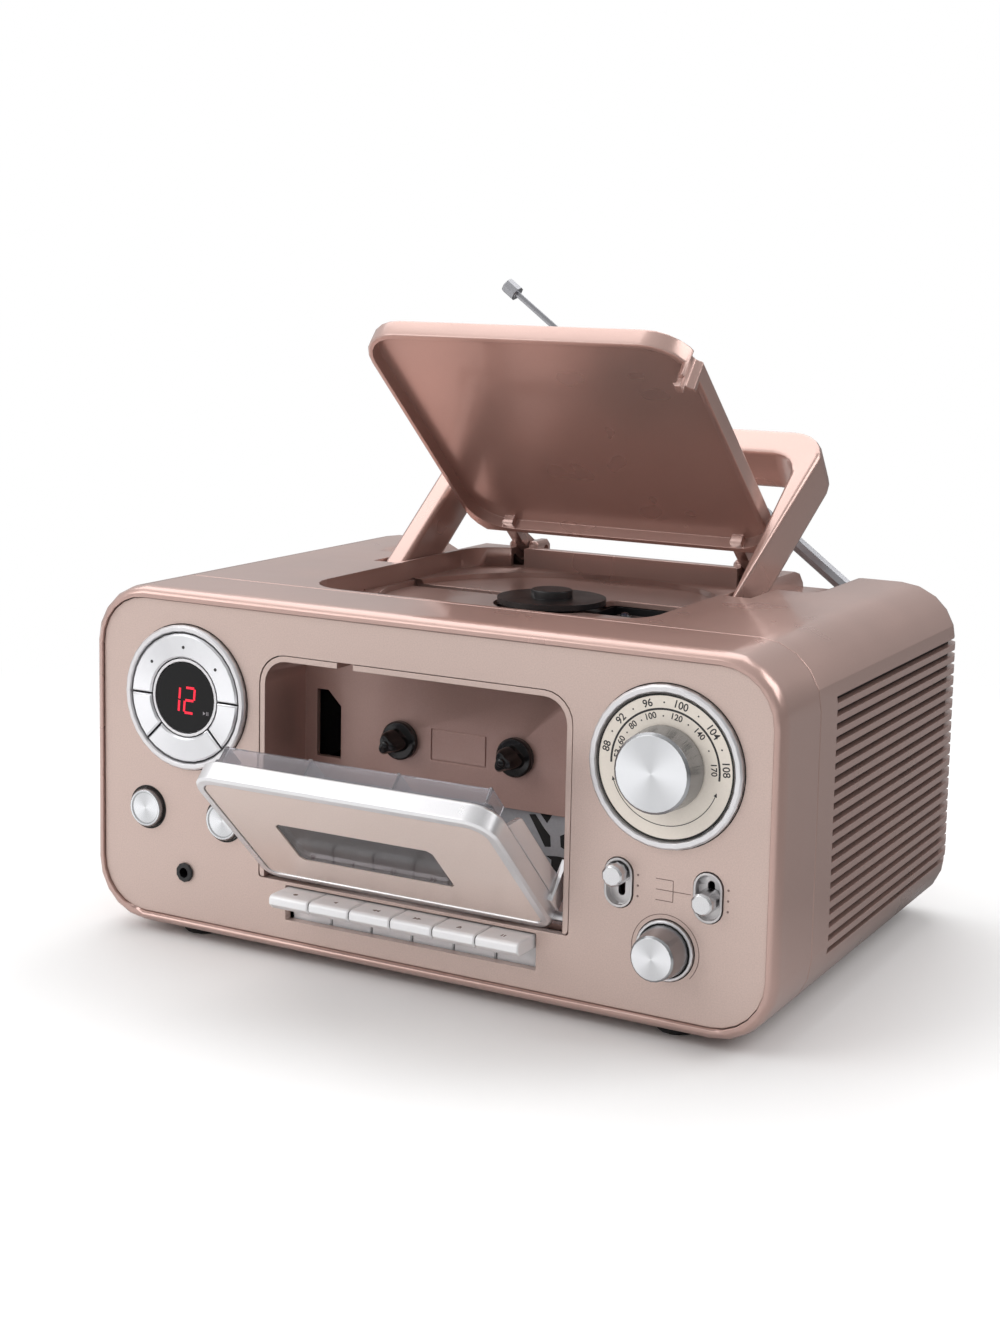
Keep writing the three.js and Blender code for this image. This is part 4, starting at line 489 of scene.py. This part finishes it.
def spindle(node):
    """A lobed spindle in place of the plainer solid of the same reach."""
    low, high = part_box(node)
    centre = (low + high) / 2
    reach = (high.x - low.x) / 2
    collar_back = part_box("cassette_bay")[1].y - COLLAR_IN
    stations = [(collar_back + y * MM, share * reach, lobe) for y, share, lobe in COLLAR_ROWS]
    stations += [(low.y + y * MM, share * reach, lobe) for y, share, lobe in TIP_ROWS]

    def build(work):
        rows = []
        for y, radius, lobe in stations:
            row = []
            for i in range(SPINDLE_STEPS):
                a = math.tau * i / SPINDLE_STEPS
                r = radius * (1 + lobe * math.cos(LOBES * a + LOBE_TURN))
                row.append(work.verts.new((centre.x + r * math.cos(a), y, centre.z + r * math.sin(a))))
            rows.append(row)
        for first, second in zip(rows, rows[1:]):
            for i in range(SPINDLE_STEPS):
                j = (i + 1) % SPINDLE_STEPS
                work.faces.new((first[i], first[j], second[j], second[i]))
        work.faces.new(rows[0])
        work.faces.new(rows[-1])
    name = f"{node}_spindle"
    piece = add_piece(name, mesh_from(name, build), GLOSS_BLACK, node, SPINDLE_CREASE)
    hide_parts(node)


for side in ("left", "right"):
    spindle(f"reel_{side}")


# Lens on the laser sled
SLED = centre_of("laser_sled")
SLED_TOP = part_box("laser_sled")[1].z
LENS_RADIUS, LENS_SINK = 1.9 * MM, 0.6 * MM


def lens_dome(work):
    bmesh.ops.create_uvsphere(work, u_segments=24, v_segments=12, radius=LENS_RADIUS,
                              matrix=Matrix.Translation((SLED.x, SLED.y, SLED_TOP - LENS_SINK)))
    everything = work.verts[:] + work.edges[:] + work.faces[:]
    bmesh.ops.bisect_plane(work, geom=everything, plane_co=(0, 0, SLED_TOP), plane_no=(0, 0, -1),
                           clear_outer=True)


add_piece("laser_lens", mesh_from("laser_lens", lens_dome), LENS, "sled")


# Scale of the tuning dial
low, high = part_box("dial_plate")
DIAL = ((low.x + high.x) / 2, (low.z + high.z) / 2)
DIAL_Y = low.y
DIAL_R = (high.x - low.x) / 2
# Radii of the scale's circles, as shares of the plate's
OUTER_RING, INNER_RING, INNER_DOTS, BAND_RING, ARROW_RING, RIM_RING = 0.885, 0.71, 0.70, 0.795, 0.80, 0.985
OUTER_HEIGHT, INNER_HEIGHT = 3.2 * MM, 2.6 * MM
ARROW_HALF = 0.55 * MM
NUMBER_RELIEF = 0.04 * MM


def number(name, text, radius, angle, height):
    """A number on a circle of the dial, turned so that its foot points to the centre."""
    curve = bpy.data.curves.new(name, "FONT")
    curve.body = text
    curve.size = height
    curve.align_x = "CENTER"
    curve.align_y = "CENTER"
    curve.extrude = curve.offset = NUMBER_RELIEF
    holder = bpy.data.objects.new(name, curve)
    bpy.context.scene.collection.objects.link(holder)
    a = math.radians(angle)
    place = Vector((DIAL[0] + radius * math.cos(a), DIAL_Y, DIAL[1] + radius * math.sin(a)))
    turn = Matrix.Rotation(-(a - math.pi / 2), 4, "Y") @ Matrix.Rotation(math.pi / 2, 4, "X")
    mesh = bpy.data.meshes.new_from_object(holder.evaluated_get(bpy.context.evaluated_depsgraph_get()))
    bpy.data.objects.remove(holder)
    mesh.transform(Matrix.Translation(place) @ turn)
    mesh.materials.clear()
    return add_piece(name, mesh, SCALE_INK, "cabinet")


OUTER_SCALE = [("88", 168), ("92", 138.7), ("96", 108.3), ("100", 76.5), ("104", 40), ("108", 5.6)]
INNER_SCALE = [("53", 172), ("60", 156), ("80", 133), ("100", 109), ("120", 78), ("140", 47), ("170", 5)]
for text, angle in OUTER_SCALE:
    number(f"scale_outer_{text}", text, OUTER_RING * DIAL_R, angle, OUTER_HEIGHT)
for text, angle in INNER_SCALE:
    number(f"scale_inner_{text}", text, INNER_RING * DIAL_R, angle, INNER_HEIGHT)
marks = [arc_band(DIAL, BAND_RING * DIAL_R, 0.6 * MM, 182, -6),
         arc_band(DIAL, ARROW_RING * DIAL_R, 0.22 * MM, 200, 338),
         arc_band(DIAL, RIM_RING * DIAL_R, 0.25 * MM, 0, 180),
         arc_band(DIAL, RIM_RING * DIAL_R, 0.25 * MM, 180, 360)]
for scale, ring, size in ((OUTER_SCALE, OUTER_RING, 0.26 * MM), (INNER_SCALE, INNER_DOTS, 0.24 * MM)):
    angles = [angle for _, angle in scale]
    for first, second in zip(angles, angles[1:]):
        marks += [dot(point_on(DIAL, ring * DIAL_R, (first + second) / 2), size)]
for angle, way in ((200, -1), (338, 1)):
    marks += [[point_on(DIAL, ARROW_RING * DIAL_R, angle + way * 4),
               point_on(DIAL, ARROW_RING * DIAL_R - ARROW_HALF, angle),
               point_on(DIAL, ARROW_RING * DIAL_R + ARROW_HALF, angle)]]
printed("scale_lines", marks, DIAL_Y, SCALE_INK, "cabinet")


# Display: two seven-segment digits on the glass, and three dots on the upper pad key
low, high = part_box("display_window")
PAD = ((low.x + high.x) / 2, (low.z + high.z) / 2)
GLASS_Y = low.y
SEGMENTS = {"a": ((0, 1), (1, 1)), "b": ((1, 1), (1, 0.5)), "c": ((1, 0.5), (1, 0)), "d": ((0, 0), (1, 0)),
            "e": ((0, 0.5), (0, 0)), "f": ((0, 1), (0, 0.5)), "g": ((0, 0.5), (1, 0.5))}
DIGITS = {"1": "bc", "2": "abged"}
DIGIT_LEFT, DIGIT_STEP, DIGIT_FOOT = -6.4 * MM, 6.0 * MM, -5.0 * MM     # from the middle of the pad
DIGIT_WIDTH, DIGIT_HEIGHT, DIGIT_STROKE = 3.8 * MM, 8.4 * MM, 0.8 * MM
DIGIT_LEAN, DIGIT_GAP = 0.08, 0.35                                      # shares of the height and stroke


def digit_strokes(text, left, bottom):
    outlines = []
    for key in DIGITS[text]:
        ends = [Vector((left + x * DIGIT_WIDTH + y * DIGIT_LEAN * DIGIT_HEIGHT, bottom + y * DIGIT_HEIGHT))
                for x, y in SEGMENTS[key]]
        along = (ends[1] - ends[0]).normalized() * DIGIT_STROKE * DIGIT_GAP
        outlines.append(line(tuple(ends[0] + along), tuple(ends[1] - along), DIGIT_STROKE))
    return outlines


strokes = []
for index, text in enumerate("12"):
    strokes += digit_strokes(text, PAD[0] + DIGIT_LEFT + index * DIGIT_STEP, PAD[1] + DIGIT_FOOT)
printed("display_digits", strokes, GLASS_Y, LIT, "cabinet")
PAD_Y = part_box("pad_key_1")[0].y
DOT_RING, DOT_RADIUS, DOT_ANGLES = 16.9 * MM, 0.55 * MM, (140, 90, 40)
pad_dots = [dot(point_on(PAD, DOT_RING, angle), DOT_RADIUS) for angle in DOT_ANGLES]
printed("pad_dots", pad_dots, PAD_Y, SCALE_INK, "pad_key_1")


# Small triangle and two bars beside the digits
MARK_HALF, MARK_STROKE = 0.6 * MM, 0.26 * MM
mark_x, mark_z = PAD[0] + 7.4 * MM, PAD[1] - 4.4 * MM
mark = [[(mark_x, mark_z - MARK_HALF), (mark_x, mark_z + MARK_HALF), (mark_x + 0.9 * MM, mark_z)]]
for x in (mark_x + 1.4 * MM, mark_x + 2.0 * MM):
    mark += [line((x, mark_z - MARK_HALF), (x, mark_z + MARK_HALF), MARK_STROKE)]
printed("display_mark", mark, GLASS_Y, UNLIT, "cabinet")


# Print on the panel: lines that join the selectors and an arc with marks round the volume knob
PANEL_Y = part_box("front_panel")[0].y
LEFT_CUP = centre_of("selector_cup_left")
RIGHT_CUP = centre_of("selector_cup_right")
VOLUME = centre_of("volume_ring")
THIN = 0.22 * MM
LEVEL_STEP = 3.2 * MM
BRACKET_START, BRACKET_END, BRACKET_SHORT = 12 * MM, 17.5 * MM, 5.4 * MM     # from the cups' middles
MARK_OUT, MARK_RADIUS = 6.2 * MM, 0.35 * MM
ARC_RADIUS, ARC_ANGLES = 10.8 * MM, (222, -42)
x0, x1 = LEFT_CUP.x + BRACKET_START, LEFT_CUP.x + BRACKET_END
levels = [LEFT_CUP.z + LEVEL_STEP, LEFT_CUP.z, LEFT_CUP.z - LEVEL_STEP]
panel_print = [line((x0, z), (x1, z), THIN) for z in levels]
panel_print += [line((x1, levels[0]), (x1, levels[2]), THIN),
                line((x1, levels[1]), (RIGHT_CUP.x - BRACKET_SHORT, levels[1]), THIN)]
for cup in (LEFT_CUP, RIGHT_CUP):
    panel_print += [dot((cup.x + MARK_OUT, z), MARK_RADIUS) for z in levels]
volume_centre = (VOLUME.x, VOLUME.z)
panel_print += [arc_band(volume_centre, ARC_RADIUS, THIN, *ARC_ANGLES)]
printed("panel_print", panel_print, PANEL_Y, PANEL_INK, "cabinet")


# Painted shade: dark rings round the controls, and dark rings in the grooves between the pieces of a
# control, standing in for the shade of their gaps
def half_width(node):
    low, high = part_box(node)
    return (high.x - low.x) / 2


SHADOW_RING = 0.32 * MM
BUTTON_HOLE, BUTTON_SHADOW_RING = 6.9 * MM, 1.6 * SHADOW_RING
PAD_SHADOW_HOLE, PAD_SHADOW_PAST, PAD_SHADOW_BEHIND = 13.1 * MM, 0.3 * MM, 0.3 * MM
DIAL_SHADOW_WIDTH, DIAL_SHADOW_THICK = 0.45 * MM, 0.1 * MM
VOLUME_SHADOW_HOLE, VOLUME_SHADOW_RIM, VOLUME_SHADOW_PROUD = 2.7 * MM, 8.3 * MM, 0.6 * MM
shadow_rings = []
for centre, node in ((PAD, "pad_ring"), (DIAL, "dial_bezel"), (volume_centre, "volume_ring")):
    shadow_rings += ring_halves(centre, half_width(node), half_width(node) + SHADOW_RING)
for node in ("play_button", "stop_button"):
    button = centre_of(node)
    shadow_rings += ring_halves((button.x, button.z), BUTTON_HOLE, BUTTON_HOLE + BUTTON_SHADOW_RING)
# Painted shade round the pad, the dial, the volume ring and the buttons.
printed("control_gaskets", shadow_rings, PANEL_Y, RUBBER_AND_PAINTED_SHADE, "cabinet")
# Painted shade in the grooves of the pad, the dial and the volume knob.
pad_shadow_ring = ring_halves(PAD, PAD_SHADOW_HOLE, half_width("pad_key_1") + PAD_SHADOW_PAST)
pad_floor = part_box("display_window")[1].y + PAD_SHADOW_BEHIND
printed("pad_shadow_ring", pad_shadow_ring, pad_floor, RUBBER_AND_PAINTED_SHADE, "cabinet")
dial_shadow_ring = ring_halves(DIAL, DIAL_R - DIAL_SHADOW_WIDTH, DIAL_R)
printed("dial_shadow_ring", dial_shadow_ring, DIAL_Y, RUBBER_AND_PAINTED_SHADE, "cabinet", DIAL_SHADOW_THICK)
volume_shadow_ring = ring_halves(volume_centre, VOLUME_SHADOW_HOLE, VOLUME_SHADOW_RIM)
printed("volume_shadow_ring", volume_shadow_ring, PANEL_Y - VOLUME_SHADOW_PROUD, RUBBER_AND_PAINTED_SHADE, "cabinet")


# Small transport signs on top of the deck keys
SIGN = 1.3 * MM
SIGN_HALF, SIGN_STROKE = 0.6 * SIGN, 0.3 * SIGN
SIGN_IN = 4.6 * MM              # from the front edge of a key


def flat_print(name, outlines, surface, material, body):
    """Print on a surface that faces up: outlines of (x, y) points."""
    def build(work):
        for outline in outlines:
            prism(work, outline, -surface + PRINT_THICK / 2, -surface - PRINT_THICK)
        bmesh.ops.transform(work, matrix=Matrix.Rotation(-math.pi / 2, 4, "X"), verts=work.verts)
    return add_piece(name, mesh_from(name, build), material, body)


def arrow(x, way):
    base, tip = x - way * SIGN / 2, x + way * SIGN / 2
    return [(base, -SIGN_HALF), (base, SIGN_HALF), (tip, 0)]


def bar(x):
    return line((x, -SIGN_HALF), (x, SIGN_HALF), SIGN_STROKE)


SIGNS = {1: [dot((0, 0), SIGN_HALF)], 2: [arrow(0, -1)],
         3: [arrow(-0.5 * SIGN, -1), arrow(0.5 * SIGN, -1)],
         4: [arrow(-0.5 * SIGN, 1), arrow(0.5 * SIGN, 1)],
         5: [line((-SIGN_HALF, -SIGN_HALF), (SIGN_HALF, -SIGN_HALF), SIGN_STROKE),
             [(-SIGN_HALF, -0.2 * SIGN), (SIGN_HALF, -0.2 * SIGN), (0, SIGN_HALF)]],
         6: [bar(-0.35 * SIGN), bar(0.35 * SIGN)]}
for count, outlines in SIGNS.items():
    low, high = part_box(f"deck_key_{count}")
    x = (low.x + high.x) / 2
    y = low.y + SIGN_IN
    moved = [[(x + px, y + py) for px, py in outline] for outline in outlines]
    flat_print(f"key_sign_{count}", moved, high.z, PANEL_INK, f"deck_key_{count}")


# Painted shade: flat black shapes stand in for the dark openings in the steel deck plate that show beside
# the open door, as (x, z) in millimetres
DECK_HOLE_SHADES = [[(32.8, 52), (37.3, 51.8), (35.5, 48.9)],
              [(29.1, 50.9), (31.3, 51.2), (34.6, 47.1), (36.7, 45), (37, 41.5), (34.9, 41.2), (32.6, 45.2)],
              [(40.2, 45.5), (42, 46.5), (44, 46), (44, 40.5), (40.5, 42)],
              [(35.3, 38.4), (39.3, 38.8), (44.5, 38.7), (44.5, 33.8), (39.3, 33.7), (37.3, 35),
               (37.3, 37.4)]]
PLATE_BEHIND = 0.3 * MM         # from the rear of the bay
plate_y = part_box("cassette_bay")[1].y + PLATE_BEHIND
painted_hole_shades = [[(x * MM, z * MM) for x, z in hole] for hole in DECK_HOLE_SHADES]
# Painted shade: the openings are black prints on the plate, not holes.
printed("painted_hole_shades", painted_hole_shades, plate_y, RUBBER_AND_PAINTED_SHADE, "cabinet")


# Acoustic cloth behind the side slots
CLOTH_WALL, CLOTH_ROUND, CLOTH_THICK = 2.75 * MM, 7.2 * MM, 0.2 * MM
CLOTH_FRONT, CLOTH_BACK = -43.5 * MM, 86 * MM - CLOTH_WALL
CLOTH_FOOT, CLOTH_TOP = 16.5 * MM, 97.5 * MM
CLOTH_STEPS = 8


def grille_cloth(name, side):
    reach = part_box("rear_cabinet")[1].x - CLOTH_WALL
    path = [(reach, CLOTH_FRONT)]
    for i in range(CLOTH_STEPS + 1):
        a = math.radians(90 * i / CLOTH_STEPS)
        path.append((reach - CLOTH_ROUND + CLOTH_ROUND * math.cos(a),
                     CLOTH_BACK - CLOTH_ROUND + CLOTH_ROUND * math.sin(a)))

    def build(work):
        rows = []
        for z in (CLOTH_FOOT, CLOTH_TOP):
            rows.append([[work.verts.new((side * (x - inset), y, z)) for x, y in path]
                         for inset in (0, CLOTH_THICK)])
        count = len(path)
        for i in range(count - 1):
            for a, b in (((0, 0), (1, 0)), ((0, 1), (1, 1)), ((0, 0), (0, 1)), ((1, 0), (1, 1))):
                work.faces.new((rows[a[0]][a[1]][i], rows[b[0]][b[1]][i], rows[b[0]][b[1]][i + 1],
                                rows[a[0]][a[1]][i + 1]))
        for i in (0, count - 1):
            work.faces.new((rows[0][0][i], rows[1][0][i], rows[1][1][i], rows[0][1][i]))
    return add_piece(name, mesh_from(name, build), CLOTH, "cabinet")


grille_cloth("grille_cloth_left", -1)
grille_cloth("grille_cloth_right", 1)


# Camera, solved from the photograph's straight edges and circles
YAW, PITCH, ROLL = 0.50323, -0.12870, 0.01954
FOCAL_PX, FRAME_PX, AXIS_PX = 2077.2, (1000, 1333), 533
CAMERA_PLACE = Vector((327.5, -624.0, 222.8)) * MM

forward = Vector((-math.sin(YAW) * math.cos(PITCH), math.cos(YAW) * math.cos(PITCH), math.sin(PITCH)))
across = Vector((math.cos(YAW), math.sin(YAW), 0))
upward = across.cross(forward)
right = math.cos(ROLL) * across + math.sin(ROLL) * upward
top = -math.sin(ROLL) * across + math.cos(ROLL) * upward
camera_data = bpy.data.cameras.new("camera")
camera_data.sensor_width = 36
camera_data.lens = FOCAL_PX * camera_data.sensor_width / FRAME_PX[1]
camera_data.shift_y = (AXIS_PX - FRAME_PX[1] / 2) / FRAME_PX[1]
camera_data.clip_end = 50
camera = bpy.data.objects.new("camera", camera_data)
bpy.context.scene.collection.objects.link(camera)
camera_turn = Matrix((right, top, -forward)).transposed().to_4x4()
camera.matrix_world = Matrix.Translation(CAMERA_PLACE) @ camera_turn
bpy.context.scene.camera = camera


# Floor and world: white to the camera, plain light on the object
FLOOR_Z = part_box("foot_front_left")[0].z
FLOOR_HALF = 12
FLOOR_WHITE = 0.9
BOUNCE_FRONT, BOUNCE_BACK = 0.8, 0.16       # how much light the floor returns in front and behind
BOUNCE_SLANT, BOUNCE_RANGE = 1.3, (-0.06, 0.26)
FADE_START, FADE_END = 0.26, 0.5            # where the floor turns into the plain background


def floor_grid(work):
    bmesh.ops.create_grid(work, x_segments=2, y_segments=2, size=FLOOR_HALF,
                          matrix=Matrix.Translation((0, 0, FLOOR_Z)))


floor_mesh = mesh_from("floor", floor_grid)
floor = bpy.data.objects.new("floor", floor_mesh)
bpy.context.scene.collection.objects.link(floor)
paint = Shader("floor_paint", (FLOOR_WHITE, FLOOR_WHITE, FLOOR_WHITE, 1), 0.0, 0.7)
seen_by_camera = paint.node("ShaderNodeLightPath").outputs["Is Camera Ray"]
ground = paint.split(paint.place)
slant = paint.math("MULTIPLY_ADD", ground["Y"], BOUNCE_SLANT, ground["X"])
away = paint.remap(slant, *BOUNCE_RANGE, BOUNCE_FRONT, BOUNCE_BACK)
bounce = paint.node("ShaderNodeMix", {"Factor": seen_by_camera, 2: away, 3: FLOOR_WHITE}).outputs[0]
tone = paint.remap(paint.noise(3.0), 0.0, 1.0, 0.995, 1.0)
paint.link(paint.shade((1.0, 1.0, 1.0), paint.math("MULTIPLY", bounce, tone)), "Base Color")
reach = {"Value": paint.length(paint.place), "From Min": FADE_START, "From Max": FADE_END}
fade = paint.node("ShaderNodeMapRange", reach, interpolation_type="SMOOTHSTEP").outputs["Result"]
plain = paint.math("MULTIPLY", fade, seen_by_camera)
white = paint.node("ShaderNodeEmission", {"Color": (1, 1, 1, 1), "Strength": 1.0}).outputs["Emission"]
layers = {0: plain, 1: paint.bsdf.outputs["BSDF"], 2: white}
blend = paint.node("ShaderNodeMixShader", layers).outputs["Shader"]
paint.tree.links.new(blend, paint.tree.nodes["Material Output"].inputs["Surface"])
floor_mesh.materials.append(paint.material)

ROOM_HEADING = (-0.72, -0.5, 0.48)          # where the room is lightest
ROOM_RANGE = (("From Min", -0.9), ("From Max", 0.9), ("To Min", 0.14), ("To Max", 0.78))
world = bpy.data.worlds.new("world")
world.use_nodes = True
bpy.context.scene.world = world
nodes, links = world.node_tree.nodes, world.node_tree.links
background = nodes["Background"]
background.inputs["Color"].default_value = (1, 1, 1, 1)
rays = nodes.new("ShaderNodeLightPath")
seen = nodes.new("ShaderNodeMath")
seen.operation = "MAXIMUM"
links.new(rays.outputs["Is Camera Ray"], seen.inputs[0])
links.new(rays.outputs["Is Transmission Ray"], seen.inputs[1])
heading = nodes.new("ShaderNodeTexCoord")
facing = nodes.new("ShaderNodeVectorMath")
facing.operation = "DOT_PRODUCT"
facing.inputs[1].default_value = Vector(ROOM_HEADING).normalized()
links.new(heading.outputs["Generated"], facing.inputs[0])
room = nodes.new("ShaderNodeMapRange")
for socket, value in ROOM_RANGE:
    room.inputs[socket].default_value = value
links.new(facing.outputs["Value"], room.inputs["Value"])
strength = nodes.new("ShaderNodeMix")
strength.inputs[3].default_value = 1.0
links.new(seen.outputs[0], strength.inputs["Factor"])
links.new(room.outputs["Result"], strength.inputs[2])
links.new(strength.outputs[0], background.inputs["Strength"])


def softbox(name, place, aim, size, energy):
    """A rectangular area lamp that looks at a point."""
    lamp = bpy.data.lights.new(name, "AREA")
    lamp.shape = "RECTANGLE"
    lamp.size, lamp.size_y = size
    lamp.energy = energy
    holder = bpy.data.objects.new(name, lamp)
    bpy.context.scene.collection.objects.link(holder)
    holder.location = place
    holder.rotation_euler = (Vector(aim) - Vector(place)).to_track_quat("-Z", "Y").to_euler()


# Name, place, point looked at, size, power
LAMPS = [("key_light", (-1.1, -1.1, 1.1), (0, 0, 0.05), (1.3, 1.0), 10.5),
         ("top_light", (-0.45, 0.5, 1.35), (0, 0, 0.05), (1.7, 1.3), 14),
         ("rear_light", (1.15, 0.6, 1.1), (0, 0, 0.1), (1.2, 0.9), 12)]
for lamp_row in LAMPS:
    softbox(*lamp_row)

bpy.context.scene.view_settings.view_transform = "Standard"
